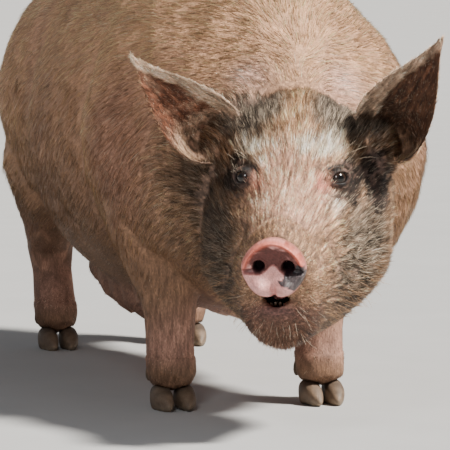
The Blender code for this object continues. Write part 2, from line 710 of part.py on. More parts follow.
def mouth_parts(group):
    """The lower front teeth and the tongue, as far as the open mouth shows them."""
    floor = MOUTH_Z - 0.0155
    gum = (MUZZLE_X, 0.044, floor + 0.004)
    bar = ellipsoid("teeth", group, gum, (0.017, 0.006, 0.0035), place=HEAD, rings=6, around=10)
    for off in (-0.0105, -0.0038, 0.0038, 0.0105):
        x = MUZZLE_X + off
        tooth = [
            (x, 0.044, floor + 0.004, 0.0030, 0.0020, 0.0020, 2.2),
            (x, 0.042, floor + 0.0075, 0.0030, 0.0018, 0.0018, 2.2),
            (x, 0.040, floor + 0.0095, 0.0024, 0.0012, 0.0012, 2.2),
        ]
        boolean(bar, [swept("tooth", group, tooth, rings=4, around=5, blunt=3.0, place=HEAD)], "UNION")
    line = [
        (MUZZLE_X, 0.056, floor + 0.006, 0.010, 0.004, 0.003, 2.0),
        (MUZZLE_X, 0.068, floor + 0.009, 0.015, 0.005, 0.005, 2.2),
        (MUZZLE_X, 0.082, floor + 0.011, 0.015, 0.006, 0.006, 2.2),
        (MUZZLE_X, 0.092, floor + 0.011, 0.012, 0.005, 0.005, 2.0),
    ]
    tongue = swept("tongue", group, line, rings=8, around=12, blunt=2.5, place=HEAD)
    return bar, tongue


def ear(group, base, tip, upper, half_width, bend):
    """A cupped ear: a tapering sheet whose section opens from a funnel at the base to a flat tip.
    upper points from the ear's lower edge to its upper edge."""
    bm = bmesh.new()
    bmesh.ops.create_grid(bm, x_segments=13, y_segments=11, size=1)
    points = np.array([v.co for v in bm.verts])
    along, across = (points[:, 0] + 1) / 2, points[:, 1]
    base, tip = np.array(base), np.array(tip)
    axis = (tip - base) / np.linalg.norm(tip - base)
    upper = np.array(upper) - axis * (axis @ np.array(upper))
    upper /= np.linalg.norm(upper)
    back = np.cross(axis, upper)
    back *= 1 if back[1] > 0 else -1
    widths = through([(w,) for w in (0.74, 0.95, 1.00, 0.95, 0.82, 0.64, 0.42, 0.20, 0.03)], along)[:, 0]
    spread = np.radians(105 - 55 * ramp(along, 0.0, 0.45) - 16 * along)
    radius = half_width * widths / np.sin(np.minimum(spread, math.pi / 2))
    turn = spread * across
    curl = 0.16 * half_width * np.clip(across, 0, 1) ** 3 * np.sin(math.pi * np.clip(along * 1.1, 0, 1))
    made = base + np.outer(along, tip - base)
    made += upper * (radius * np.sin(turn))[:, None]
    made += back * (radius * (np.cos(turn) - np.cos(spread)) - 1.6 * curl)[:, None]
    made += upper * (bend * along * (1 - along) * 4)[:, None] - back * (bend * 0.7 * along**2)[:, None]
    set_points(bm, made)
    bmesh.ops.transform(bm, matrix=HEAD, verts=bm.verts)
    sheet = object_of(bm, "ear", group)
    edge = sheet.vertex_groups.new(name="thick")
    for i, (u, v) in enumerate(zip(along, across)):
        edge.add([i], max(1 - 0.55 * v * v - 0.35 * u, 0.2), "REPLACE")
    solid = sheet.modifiers.new("thickness", "SOLIDIFY")
    solid.thickness = 0.0085
    solid.offset = 0
    solid.vertex_group = "thick"
    applied(sheet)
    sheet.vertex_groups.clear()
    return sheet


def tail(group):
    """A relaxed tail with one loose curl and a tassel of flat tapered locks."""
    line = [
        (0.000, 0.950, 0.636, 0.025, 0.024, 0.024, 2.0),
        (0.000, 1.004, 0.660, 0.022, 0.021, 0.021, 2.0),
        (0.000, 1.050, 0.664, 0.0185, 0.018, 0.018, 2.0),
        (0.003, 1.084, 0.645, 0.016, 0.016, 0.016, 2.0),
        (0.020, 1.100, 0.612, 0.014, 0.014, 0.014, 2.0),
        (0.031, 1.102, 0.576, 0.0125, 0.012, 0.012, 2.0),
        (0.016, 1.098, 0.545, 0.0115, 0.011, 0.011, 2.0),
        (-0.012, 1.100, 0.526, 0.0105, 0.010, 0.010, 2.0),
        (-0.024, 1.106, 0.497, 0.0095, 0.009, 0.009, 2.0),
        (-0.012, 1.110, 0.466, 0.008, 0.008, 0.008, 2.0),
        (0.000, 1.110, 0.440, 0.006, 0.006, 0.006, 2.0),
    ]
    forms = [swept("tail", group, line, rings=44, around=16, blunt=5.0)]
    rng = np.random.default_rng(7)
    for i in range(TAIL_LOCKS):
        angle = 2 * math.pi * i / TAIL_LOCKS
        spread = Vector((math.cos(angle), math.sin(angle), 0)) * rng.uniform(0.010, 0.022)
        reach = rng.uniform(0.050, 0.080)
        root = Vector((-0.002, 1.110, 0.456))
        lock = []
        for t in (0.0, 0.35, 0.7, 1.0):
            at = root + spread * t**0.8 - Vector((0, 0, reach * t))
            wide = 0.0055 * (1 - t) ** 0.7 + 0.0012
            lock.append((*at, wide, 0.0020, 0.0020, 2.0))
        side = (-math.sin(angle), math.cos(angle), 0)
        forms.append(swept("lock", group, lock, side=side, rings=16, around=8, blunt=3.0))
    made = one_skin(forms, "tail", group, TAIL_VOXEL)
    thin = made.modifiers.new("thin", "DECIMATE")
    thin.ratio = TAIL_TRIANGLES / (2 * len(made.data.polygons))
    return keep_largest(applied(made))


def centred(group):
    """Moves the pig so that its box stands on the origin: centre at x = y = 0, soles at z = 0."""
    low = np.full(3, np.inf)
    high = np.full(3, -np.inf)
    for obj in group.objects:
        points = points_of(obj.data)
        low, high = np.minimum(low, points.min(axis=0)), np.maximum(high, points.max(axis=0))
    move = Matrix.Translation((-(low[0] + high[0]) / 2, -(low[1] + high[1]) / 2, -low[2]))
    for obj in group.objects:
        obj.data.transform(move)
        obj.data.update()


def build():
    clear_scene()
    pig = collection("pig")
    hide = thinned(whole_hide(pig), HIDE_TRIANGLES)
    lines = leg_stations()
    for hand, side in ((-1, "right"), (1, "left")):
        for prefix, line, top in (("fore", lines["fore"], FORELEG_TOP), ("hind", lines["hind"], HINDLEG_TOP)):
            stations = mirrored(line, hand)
            name = f"{prefix}leg_{side}"
            leg = taken(hide, leg_region(pig, stations, top), name, pig)
            foot = FORE_FOOT if prefix == "fore" else HIND_FOOT
            feet(pig, leg, f"{prefix}_{side}", hand * foot[0], foot[1])
            mesh_with(leg, name, "hide")

    head_space = box("space", pig, (-0.5, -0.3, -0.5), (0.5, HEAD_CUT, 0.5), place=HEAD)
    neck_space = box("space", pig, (-1, -1, -1), (1, NECK_CUT, 2))
    head = finish_head(pig, taken(hide, head_space, "head", pig))
    neck = taken(hide, neck_space, "neck", pig)
    torso = keep_largest(hide)
    snout = boolean(disc_solid(pig, 0.0), nostril_cutters(pig, 0.046), "DIFFERENCE")
    for hand, side in ((-1, "right"), (1, "left")):
        mesh_with(eyeball(pig, hand, 0.0), f"eye_{side}", "eye")
    teeth, tongue = mouth_parts(pig)
    boolean(head, [copy_of(teeth, "seat", pig, GAP), copy_of(tongue, "seat", pig, GAP)], "DIFFERENCE")
    keep_largest(head)
    ear_right = ear(pig, (-0.118, 0.302, 0.118), (-0.254, 0.224, 0.284), (0.041, 0.036, 0.097), 0.057, -0.008)
    ear_left = ear(pig, (0.120, 0.302, 0.118), (0.236, 0.244, 0.312), (-0.060, 0.036, 0.090), 0.062, -0.012)
    for piece, side in ((ear_right, "right"), (ear_left, "left")):
        boolean(piece, [copy_of(head, "around", pig, GAP)], "DIFFERENCE")
        boolean(piece, [copy_of(neck, "around", pig, GAP)], "DIFFERENCE")
        mesh_with(keep_largest(piece), f"ear_{side}", "ear_skin")
    curl = boolean(tail(pig), [copy_of(torso, "around", pig, GAP)], "DIFFERENCE")
    mesh_with(keep_largest(curl), "tail", "hide")
    mesh_with(head, "head", "face")
    mesh_with(neck, "neck", "hide")
    mesh_with(torso, "torso", "hide")
    mesh_with(keep_largest(snout), "snout", "snout_pink")
    mesh_with(teeth, "teeth", "tooth")
    mesh_with(tongue, "tongue", "tongue_pink")
    centred(pig)


if __name__ == "__main__":
    build()
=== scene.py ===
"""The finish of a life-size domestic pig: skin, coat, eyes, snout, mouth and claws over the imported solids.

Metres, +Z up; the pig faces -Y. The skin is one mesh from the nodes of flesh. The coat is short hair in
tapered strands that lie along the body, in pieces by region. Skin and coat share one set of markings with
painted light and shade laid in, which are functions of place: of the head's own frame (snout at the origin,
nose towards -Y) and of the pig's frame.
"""

import math

import bmesh
import bpy
import numpy as np
from mathutils import Matrix, Vector
from mathutils.bvhtree import BVHTree


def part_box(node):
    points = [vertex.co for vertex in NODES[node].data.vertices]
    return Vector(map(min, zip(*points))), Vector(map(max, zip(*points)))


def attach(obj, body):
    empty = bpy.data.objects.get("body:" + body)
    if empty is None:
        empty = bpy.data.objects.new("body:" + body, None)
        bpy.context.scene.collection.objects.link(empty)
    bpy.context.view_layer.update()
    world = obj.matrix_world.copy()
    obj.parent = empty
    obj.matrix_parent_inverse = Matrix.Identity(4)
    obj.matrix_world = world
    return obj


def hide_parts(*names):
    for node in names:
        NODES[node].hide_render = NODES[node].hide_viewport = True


# Finish of the skin
SKIN_VOXEL = 0.0034
SKIN_TRIANGLES = 180000
EAR_GROWTH = 0.0014
SEAM_GROWTH = 0.0005
COAT_DEPTH = 0.0030
FACE_DEPTH = 0.0014
MERGE = 1e-5

# Strands of the coat
STRANDS_A_PIECE = 46000
BODY_PIECES = 4
HEAD_PIECES = 3
TASSEL_HAIRS = 1500
HAIR_LENGTH = 0.025
HAIR_HALF_WIDTH = 0.00066
HAIR_LIFT = 0.075
# A hair's tone at root, middle and tip: the root darker as painted shade within the coat, the tip lighter,
# partly its paler end and partly painted light
HAIR_FADE = (0.62, 1.0, 1.15)
ROOT_SINK = 0.0015
# The root's tone of the coat's strands by region, darkened as painted shade within the coat
ROOT_SHADE = {"body": 0.36, "head": 0.26}
STRAY = {"body": 0.07, "head": 0.11}
# Where the head's coat meets the body's, behind the snout
HEAD_COAT_END = 0.345
# The size of each strand on the OFBake map
PATCH = 0.003

# Studio and camera
FLOOR_REACH = 60.0
SKY_COLOUR = (0.92, 0.95, 1.0, 1)
SKY_STRENGTH = 0.23
KEY_FROM = Vector((0.66, -0.52, 0.95))
KEY_ENERGY = 9.6
KEY_ANGLE = math.radians(9)
KEY_COLOUR = (1.0, 0.955, 0.88)
SOFTBOX_FROM = Vector((-0.95, -1.60, 1.15))
SOFTBOX_AT_HEAD = Vector((0, 0.15, 0.08))
SOFTBOX_SIZE = (0.42, 0.60)
SOFTBOX_POWER = 17
CAMERA_TURN = math.radians(-15.5)
CAMERA_RISE = math.radians(5)
CAMERA_AWAY = 6.0
CAMERA_TARGET = Vector((-0.038, -0.412, 0.421))
CAMERA_SLIDE = (0.1056, 0.076)
LENS = 300
SENSOR = 36

# The head's frame, as the solids have it
HEAD_TURN = math.radians(-24.5)
HEAD_DIP = math.radians(11.5)
SNOUT_AT = Vector((-0.112, -0.574, 0.290))
EYE = Vector((0.0730, 0.207, 0.0900))
EYE_FACES = Vector((0.53, -0.79, 0.31)).normalized()
EYEBALL_R = 0.0160
MOUTH_Z = -0.056
MUZZLE_X = -0.003
FORE_FOOT = (0.132, -0.020)
HIND_FOOT = (0.128, 0.868)

FLESH = ["head", "neck", "torso", "foreleg_left", "foreleg_right", "hindleg_left", "hindleg_right"]
EARS = ["ear_left", "ear_right"]

# Tones of hair, skin and horn, linear
GINGER = (0.520, 0.300, 0.158)
GINGER_PALE = (0.820, 0.490, 0.265)
GINGER_DEEP = (0.340, 0.185, 0.092)
# painted shade: laid low on the body, along the shoulder's back edge and the flank, and behind the shoulder
DUSKY = (0.250, 0.118, 0.078)
PAINTED_SHADE = (0.185, 0.100, 0.056)
PINK = (0.600, 0.320, 0.235)
TUFT_PINK = (0.900, 0.560, 0.440)
BRIDGE = (0.770, 0.430, 0.285)
WHITE_HAIR = (0.900, 0.740, 0.560)
GREY = (0.135, 0.108, 0.086)
CHEEK_GREY = (0.112, 0.079, 0.056)
BLACK = (0.016, 0.013, 0.012)
COLLAR = (0.420, 0.240, 0.135)
# painted shade for the underside and the lower sides of the face
FACE_PAINTED_SHADE = (0.205, 0.125, 0.076)
EYE_PINK = (0.640, 0.190, 0.140)
EYE_DARK = (0.016, 0.013, 0.012)
CHIN = (0.140, 0.066, 0.042)
LIP = (0.170, 0.068, 0.066)
EAR_RED = (0.240, 0.094, 0.052)
EAR_DARK = (0.085, 0.041, 0.022)
EAR_TAN = (0.860, 0.570, 0.390)
# painted shadow inside the mouth and in the seat behind the snout's disc
MOUTH_SHADOW = (0.009, 0.004, 0.003)
SKIN_PINK = (0.640, 0.340, 0.220)
SOCKET_DARK = (0.013, 0.009, 0.009)
IRIS = (0.022, 0.012, 0.008)
PUPIL = (0.003, 0.003, 0.003)
IRIS_RIM = (0.012, 0.009, 0.008)
EYE_WHITE = (0.200, 0.140, 0.120)
EYE_BACK = (0.160, 0.070, 0.055)
LID_EDGE = (0.011, 0.009, 0.009)
EYE_CORNER = (0.500, 0.200, 0.170)
RIM_RED = (0.640, 0.165, 0.115)
PAD_PINK = (0.700, 0.330, 0.300)
DISC_DUSKY = (0.068, 0.018, 0.014)
GROOVE_PURPLE = (0.110, 0.034, 0.038)
CLEFT_RED = (0.460, 0.150, 0.135)
EDGE_RED = (0.560, 0.180, 0.150)
MIDDLE_PINK = (0.620, 0.270, 0.230)
BLOTCH = (0.024, 0.022, 0.025)
# painted glints on the wet black blotch
BLOTCH_GLINT = (0.160, 0.120, 0.120)
# painted shadow deep in the nostrils
NOSTRIL_SHADOW = (0.016, 0.006, 0.009)
DISC_BACK = (0.300, 0.130, 0.100)
# the teeth's tone darkened as painted shade of the mouth
TOOTH = (0.300, 0.240, 0.150)
TOOTH_ROOT = (0.120, 0.060, 0.030)
TONGUE = (0.420, 0.160, 0.150)
CLAW = (0.155, 0.105, 0.070)
CORONET = (0.060, 0.042, 0.032)
CLAW_TIP = (0.340, 0.260, 0.180)
FLOOR_TONE = (0.46, 0.46, 0.46)
# The skin's share of the coat's tone, darker partly by its own tone and partly as painted shade between the
# hairs, and what the trunk adds to it, more high up than low down as painted light from above
SKIN_SHADE = 0.45
TRUNK_LIGHT = 0.30


def centre(node):
    low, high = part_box(node)
    return (Vector(low) + Vector(high)) / 2


def moved_by(points, matrix):
    turn = np.array(matrix.to_3x3())
    return points @ turn.T + np.array(matrix.translation)


def unit(vectors):
    return vectors / np.maximum(np.linalg.norm(vectors, axis=-1, keepdims=True), 1e-9)


def ramp(values, low, high):
    share = np.clip((values - low) / (high - low), 0, 1)
    return share * share * (3 - 2 * share)


def fall(values, low, high):
    return 1 - ramp(values, low, high)


def bell(values, middle, width):
    return np.exp(-(((values - middle) / width) ** 2))


def ripple(points, size, seed):
    """Soft noise between about -1 and 1, in lumps about size across."""
    rng = np.random.default_rng(seed)
    total = np.zeros(len(points))
    for _ in range(7):
        first, second = unit(rng.normal(size=(2, 3)))
        wave = 2 * math.pi / (size * rng.uniform(1.3, 2.6))
        warp = 1.3 * np.sin(points @ second * wave * 0.7 + rng.uniform(0, 6))
        total += np.sin(points @ first * wave + rng.uniform(0, 6) + warp)
    return total / 3.2


def spot(points, at, reach):
    """1 at a place, fading to 0 by about reach along each axis."""
    away = (points - np.array(at)) / np.array(reach)
    return np.exp(-np.sum(away**2, axis=1))


def patch(points, at, reach, rough=0.0, edge=0.25):
    """1 inside an ellipsoid, 0 outside; rough is noise that makes its border uneven."""
    away = np.linalg.norm((points - np.array(at)) / np.array(reach), axis=1) + rough
    return fall(away, 1 - edge, 1 + edge)


def patches(points, rough, rows):
    """The most of several patches: rows of share, centre, reach, unevenness and edge."""
    every = [
        share * patch(points, at, reach, uneven * rough, edge)
        for share, at, reach, uneven, edge in rows
    ]
    return np.max(every, axis=0)


def off_segment(points, start, end):
    run = end - start
    t = np.clip((points - start) @ run / (run @ run), 0, 1)
    return np.linalg.norm(points - start - t[:, None] * run, axis=1)


def along_line(points, line):
    """Distance of each point to a line of points."""
    line = np.array(line, float)
    return np.min([off_segment(points, start, end) for start, end in zip(line[:-1], line[1:])], axis=0)


def through(rows, at):
    """A smooth curve through evenly spaced rows of numbers, read at positions 0 to 1."""
    rows = np.array(rows, float)
    rows = np.vstack([2 * rows[0] - rows[1], rows, 2 * rows[-1] - rows[-2]])
    place = np.clip(np.asarray(at, float), 0, 1) * (len(rows) - 3)
    i = np.minimum(place.astype(int), len(rows) - 4)
    t = (place - i)[:, None]
    a, b, c, d = rows[i], rows[i + 1], rows[i + 2], rows[i + 3]
    return 0.5 * (2 * b + (c - a) * t + (2 * a - 5 * b + 4 * c - d) * t**2 + (3 * b - a - 3 * c + d) * t**3)


def sided(vector, hand):
    return Vector((hand * vector[0], vector[1], vector[2]))


def numbers_of(items, name, wide, kind):
    """A property of every item as rows of numbers."""
    values = np.empty(len(items) * wide, dtype=kind)
    items.foreach_get(name, values)
    return values.reshape(-1, wide)


def points_of(mesh):
    return numbers_of(mesh.vertices, "co", 3, np.float32).astype(float)


def normals_of(mesh):
    return numbers_of(mesh.vertex_normals, "vector", 3, np.float32).astype(float)


def triangles_of(mesh):
    mesh.calc_loop_triangles()
    return numbers_of(mesh.loop_triangles, "vertices", 3, np.int32)


def set_points(mesh, points):
    mesh.vertices.foreach_set("co", points.astype(np.float32).ravel())
    mesh.update()


def set_bm(bm, points):
    for vert, point in zip(bm.verts, points):
        vert.co = point


def ball(around, rings):
    """A ball of radius 1 and its points."""
    bm = bmesh.new()
    bmesh.ops.create_uvsphere(bm, u_segments=around, v_segments=rings, radius=1)
    return bm, np.array([v.co for v in bm.verts])


def absorb(bm, part):
    """Adds one bmesh to another."""
    mesh = bpy.data.meshes.new("part")
    part.to_mesh(mesh)
    part.free()
    bm.from_mesh(mesh)
    bpy.data.meshes.remove(mesh)


def linked(name, data):
    obj = bpy.data.objects.new(name, data)
    bpy.context.scene.collection.objects.link(obj)
    return obj


def piece_of(bm, name):
    """A finished bmesh as a smooth object at the origin."""
    bmesh.ops.recalc_face_normals(bm, faces=bm.faces)
    mesh = bpy.data.meshes.new(name)
    bm.to_mesh(mesh)
    bm.free()
    mesh.shade_smooth()
    return linked(name, mesh)


def applied(obj):
    """Gives the object the mesh that its modifiers make."""
    bpy.context.view_layer.update()
    graph = bpy.context.evaluated_depsgraph_get()
    mesh = bpy.data.meshes.new_from_object(obj.evaluated_get(graph))
    obj.modifiers.clear()
    obj.data = mesh
    return obj


def filled(points, tone):
    """One tone for every point."""
    return np.tile(np.array(tone), (len(points), 1))


def tinted(mesh, colours, wet=1.0):
    """Stores a colour and a wetness for each vertex, which the materials read."""
    rgba = np.ones((len(colours), 4), dtype=np.float32)
    rgba[:, :3] = np.clip(colours, 0, 1)
    rgba[:, 3] = wet
    layer = mesh.attributes.new("tint", "FLOAT_COLOR", "POINT")
    layer.data.foreach_set("color", rgba.ravel())


def weighted(obj, weights):
    """A vertex group with these weights."""
    group = obj.vertex_groups.new(name="weight")
    weights = np.round(weights, 2)
    for level in np.unique(weights):
        group.add(np.nonzero(weights == level)[0].tolist(), float(level), "REPLACE")
    return group


def soften(obj, rounds, weights):
    weighted(obj, weights)
    smooth = obj.modifiers.new("soften", "SMOOTH")
    smooth.factor = 0.5
    smooth.iterations = rounds
    smooth.vertex_group = "weight"
    applied(obj)
    obj.vertex_groups.clear()


# Materials


class Paint:
    """A material in the making."""

    def __init__(self, name, roughness, specular=0.5):
        self.material = bpy.data.materials.new(name)
        self.material.use_nodes = True
        self.nodes, self.links = self.material.node_tree.nodes, self.material.node_tree.links
        self.shader = self.nodes["Principled BSDF"]
        self.shade({"Roughness": roughness, "Specular IOR Level": specular})

    def put(self, node, inputs):
        """Gives inputs their values, or links to them where the value is another node's output."""
        for name, value in inputs.items():
            if isinstance(value, bpy.types.NodeSocket):
                self.links.new(value, node.inputs[name])
            else:
                node.inputs[name].default_value = value
        return node

    def add(self, kind, inputs):
        return self.put(self.nodes.new("ShaderNode" + kind), inputs)

    def shade(self, inputs):
        self.put(self.shader, inputs)

    def stored(self, name, output):
        """An attribute that the mesh carries."""
        made = self.add("Attribute", {})
        made.attribute_name = name
        return made.outputs[output]

    def places(self):
        return self.add("TexCoord", {}).outputs["Object"]

    def noise(self, scale, detail=4.0, coords=None):
        coords = self.places() if coords is None else coords
        return self.add("TexNoise", {"Scale": scale, "Detail": detail, "Vector": coords}).outputs["Fac"]

    def spread(self, value, low, high):
        """Takes noise around a half to a range."""
        ends = {"From Min": 0.3, "From Max": 0.7, "To Min": low, "To Max": high}
        return self.add("MapRange", {**ends, "Value": value}).outputs["Result"]

    def rough(self, value, low, high):
        self.shade({"Roughness": self.spread(value, low, high)})

    def tint_times(self, value):
        """The stored tint, lightened and darkened by a value around 1."""
        mix = self.add("VectorMath", {0: self.stored("tint", "Color"), 1: value})
        mix.operation = "MULTIPLY"
        self.shade({"Base Color": mix.outputs["Vector"]})

    def bump(self, heights, distance):
        """Bump from a list of (height, strength)."""
        before = {}
        for height, strength in heights:
            made = self.add("Bump", {"Strength": strength, "Distance": distance, "Height": height, **before})
            before = {"Normal": made.outputs["Normal"]}
        self.shade(before)


def hide_material(name):
    """Skin with its short flat hair as streaks along the coat's lie."""
    paint = Paint(name, 0.66, 0.3)
    flow = paint.stored("flow", "Vector")
    streaks = paint.noise(1300.0, 3.0, flow)
    locks = paint.noise(330.0, 3.0, flow)
    broad = paint.noise(120.0, 5.0)
    both = paint.add("Math", {0: paint.spread(streaks, 0.55, 1.45), 1: paint.spread(locks, 0.75, 1.25)})
    both.operation = "MULTIPLY"
    paint.tint_times(both.outputs["Value"])
    paint.bump([(broad, 0.3), (locks, 0.5), (streaks, 0.6)], 0.0014)
    paint.rough(streaks, 0.58, 0.76)
    return paint.material


def lid_material(name):
    """Fine wrinkled skin."""
    paint = Paint(name, 0.5, 0.4)
    fine = paint.noise(1500.0)
    broad = paint.noise(380.0, 6.0)
    paint.tint_times(paint.spread(broad, 0.8, 1.2))
    paint.bump([(broad, 0.5), (fine, 0.35)], 0.0012)
    paint.rough(fine, 0.42, 0.6)
    return paint.material


def hair_material(name, roughness=0.52):
    paint = Paint(name, roughness, 0.18)
    fine = paint.noise(420.0)
    paint.tint_times(paint.spread(fine, 0.84, 1.16))
    paint.bump([(fine, 0.3)], 0.0006)
    return paint.material


def wet_material(name, roughness, pores=1400.0, coat=0.35, depth=0.0008, mottle=0.14):
    """Bare wet skin, tooth or eye; it shines where the stored wetness is high."""
    paint = Paint(name, roughness)
    wet = paint.stored("tint", "Alpha")
    for socket, dry, full in (("Coat Weight", 0.0, coat), ("Specular IOR Level", 0.04, 0.5)):
        shine = paint.add("MapRange", {"To Min": dry, "To Max": full, "Value": wet})
        paint.shade({socket: shine.outputs["Result"]})
    fine = paint.noise(pores, 5.0)
    broad = paint.noise(pores / 6, 5.0)
    paint.shade({"Coat Roughness": 0.16})
    paint.tint_times(paint.spread(broad, 1 - mottle, 1 + mottle))
    paint.bump([(broad, 0.5), (fine, 0.6)], depth)
    paint.rough(broad, roughness - 0.1, roughness + 0.15)
    return paint.material


def horn_material(name):
    """Horn with rings round it and grain along it."""
    paint = Paint(name, 0.55, 0.4)
    coords = paint.places()
    rings = paint.add("Mapping", {"Vector": coords, "Scale": (0.25, 0.25, 2.2)}).outputs["Vector"]
    grain = paint.add("Mapping", {"Vector": coords, "Scale": (4.0, 4.0, 0.5)}).outputs["Vector"]
    ridge = paint.noise(240.0, 3.0, rings)
    streak = paint.noise(260.0, 5.0, grain)
    paint.tint_times(paint.spread(streak, 0.7, 1.35))
    paint.bump([(ridge, 0.5), (streak, 0.4)], 0.001)
    paint.rough(streak, 0.42, 0.7)
    return paint.material


# The frame

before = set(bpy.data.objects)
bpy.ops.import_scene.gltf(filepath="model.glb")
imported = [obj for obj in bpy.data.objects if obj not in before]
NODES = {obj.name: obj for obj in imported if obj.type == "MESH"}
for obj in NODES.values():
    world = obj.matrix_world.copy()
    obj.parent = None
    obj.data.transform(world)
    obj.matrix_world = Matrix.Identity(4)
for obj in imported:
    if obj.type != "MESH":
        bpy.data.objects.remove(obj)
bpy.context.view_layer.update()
HEAD_FORM = (
    Matrix.Translation(SNOUT_AT) @ Matrix.Rotation(HEAD_TURN, 4, "Z") @ Matrix.Rotation(HEAD_DIP, 4, "X")
)
SHIFT = centre("eye_left") - HEAD_FORM @ EYE
HEAD = Matrix.Translation(SHIFT) @ HEAD_FORM
HEAD_BACK = HEAD.inverted()
TO_WORLD = np.array(HEAD.to_3x3()).T
TO_HEAD = np.array(HEAD_BACK.to_3x3()).T


def in_head(points):
    return moved_by(points, HEAD_BACK)


def in_pig(points):
    return points - np.array(SHIFT)


def surface_tree(obj):
    """A tree for finding the nearest place on a mesh."""
    return BVHTree.FromPolygons(points_of(obj.data).tolist(), triangles_of(obj.data).tolist())


def distance_to(points, node, reach):
    """Distance of each point to a CAD node's surface, at most reach."""
    low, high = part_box(node)
    inside = np.all((points > np.array(low) - reach) & (points < np.array(high) + reach), axis=1)
    tree = surface_tree(NODES[node])
    result = np.full(len(points), float(reach))
    for i in np.nonzero(inside)[0]:
        found = tree.find_nearest(Vector(points[i]), reach)
        if found[0] is not None:
            result[i] = found[3]
    return result


# Each ear's line from base to tip, in the head's frame
EAR_LINES = {
    "ear_right": np.array([(-0.118, 0.302, 0.118), (-0.254, 0.224, 0.284)]),
    "ear_left": np.array([(0.120, 0.302, 0.118), (0.236, 0.244, 0.312)]),
}
EAR_BAND = 0.032
# Places and radii along the tail, in the pig's frame
TAIL_LINE = [
    (0.000, 0.950, 0.636, 0.0240),
    (0.000, 1.004, 0.660, 0.0215),
    (0.000, 1.050, 0.664, 0.0180),
    (0.003, 1.084, 0.645, 0.0155),
    (0.020, 1.100, 0.612, 0.0135),
    (0.031, 1.102, 0.576, 0.0118),
    (0.016, 1.098, 0.545, 0.0108),
    (-0.012, 1.100, 0.526, 0.0098),
    (-0.024, 1.106, 0.497, 0.0088),
    (-0.012, 1.110, 0.466, 0.0075),
    (0.000, 1.110, 0.440, 0.0050),
]


def ears(local):
    """For each ear its base, its axis and which places are on its side of the head."""
    for base, tip in EAR_LINES.values():
        yield base, unit(tip - base), local[:, 0] * base[0] > 0


def ear_place(local, node):
    """Places along an ear's line, as shares of it, and heights above the line towards its upper edge."""
    base, tip = EAR_LINES[node]
    axis = unit(tip - base)
    upper = unit(np.cross(axis, np.array([0.0, 1.0, 0.0])) * np.sign(base[0]))
    return (local - base) @ axis / np.linalg.norm(tip - base), (local - base) @ upper


def ear_band(local):
    """1 on the band along each ear's upper edge that is folded to show the ear's hairy outer side."""
    share = np.zeros(len(local))
    for node, (base, _) in EAR_LINES.items():
        along, high = ear_place(in_head(points_of(NODES[node].data)), node)
        places = np.linspace(0, 1, 25)
        edge = [high[np.abs(along - p) < 0.045].max(initial=0) for p in places]
        along, high = ear_place(local, node)
        below = np.interp(along, places, edge) - high
        wide = EAR_BAND * (1.15 - 0.75 * np.clip(along, 0, 1))
        here = fall(below, wide - 0.003, wide + 0.003) * (local[:, 0] * base[0] > 0)
        share = np.maximum(share, here)
    return share


# The skin


def merged_copy(node):
    """A CAD node's mesh as a bmesh with its corners joined."""
    bm = bmesh.new()
    bm.from_mesh(NODES[node].data)
    bmesh.ops.remove_doubles(bm, verts=bm.verts, dist=MERGE)
    return bm


def grown_node(node, grow):
    """A copy of a CAD node grown a little along its normals."""
    part = merged_copy(node)
    part.normal_update()
    moves = [(v, v.normal * grow * v.calc_shell_factor()) for v in part.verts]
    for vert, move in moves:
        vert.co += move
    return part


def along_tail(share, step):
    """The tail's rows at shares of its length, with the ways ahead, across and up."""
    row = through(TAIL_LINE, share)
    ahead = unit(through(TAIL_LINE, share + step)[:, :3] - through(TAIL_LINE, share - step)[:, :3])
    wide = unit(np.cross(ahead, np.array([0.0, 1.0, 0.3])))
    return row, ahead, wide, np.cross(wide, ahead)


def tail_core():
    """The fleshy part of the tail as a tapered bent tube."""
    bm, points = ball(16, 60)
    share = np.arcsin(np.clip(points[:, 2], -1, 1)) / math.pi + 0.5
    row, _, wide, tall = along_tail(share, 0.01)
    angle = np.arctan2(points[:, 1], points[:, 0])
    end = np.maximum(1 - np.abs(2 * share - 1) ** 16, 0) ** 0.5 * row[:, 3]
    made = row[:, :3] + wide * (np.cos(angle) * end)[:, None] + tall * (np.sin(angle) * end)[:, None]
    set_bm(bm, made + np.array(SHIFT))
    bmesh.ops.recalc_face_normals(bm, faces=bm.faces)
    return bm


def largest_surface(obj):
    """Drops what voxel remeshing leaves loose, such as pockets sealed inside the body."""
    mesh = obj.data
    edges = numbers_of(mesh.edges, "vertices", 2, np.int64)
    label = np.arange(len(mesh.vertices))
    while True:
        low = np.minimum(label[edges[:, 0]], label[edges[:, 1]])
        before = label.copy()
        np.minimum.at(label, edges[:, 0], low)
        np.minimum.at(label, edges[:, 1], low)
        label = label[label]
        if np.array_equal(before, label):
            break
    names, counts = np.unique(label, return_counts=True)
    loose = np.nonzero(label != names[np.argmax(counts)])[0]
    if len(loose):
        bm = bmesh.new()
        bm.from_mesh(mesh)
        bm.verts.ensure_lookup_table()
        bmesh.ops.delete(bm, geom=[bm.verts[i] for i in loose], context="VERTS")
        bm.to_mesh(mesh)
        bm.free()
    return obj


def raw_skin():
    """The nodes of flesh joined and remeshed as one closed skin."""
    bm = bmesh.new()
    for node in FLESH:
        absorb(bm, grown_node(node, SEAM_GROWTH))
    for node in EARS:
        absorb(bm, grown_node(node, EAR_GROWTH))
    absorb(bm, tail_core())
    skin = piece_of(bm, "skin")
    remesh = skin.modifiers.new("one_skin", "REMESH")
    remesh.mode = "VOXEL"
    remesh.voxel_size = SKIN_VOXEL
    return largest_surface(applied(skin))


def dab(points, at, reach, push):
    return points + spot(points, at, reach)[:, None] * np.array(push)


def furrow(points, normals, line, depth, width):
    nearest = along_line(points, line)
    return points - normals * (depth * bell(nearest, 0, width))[:, None]


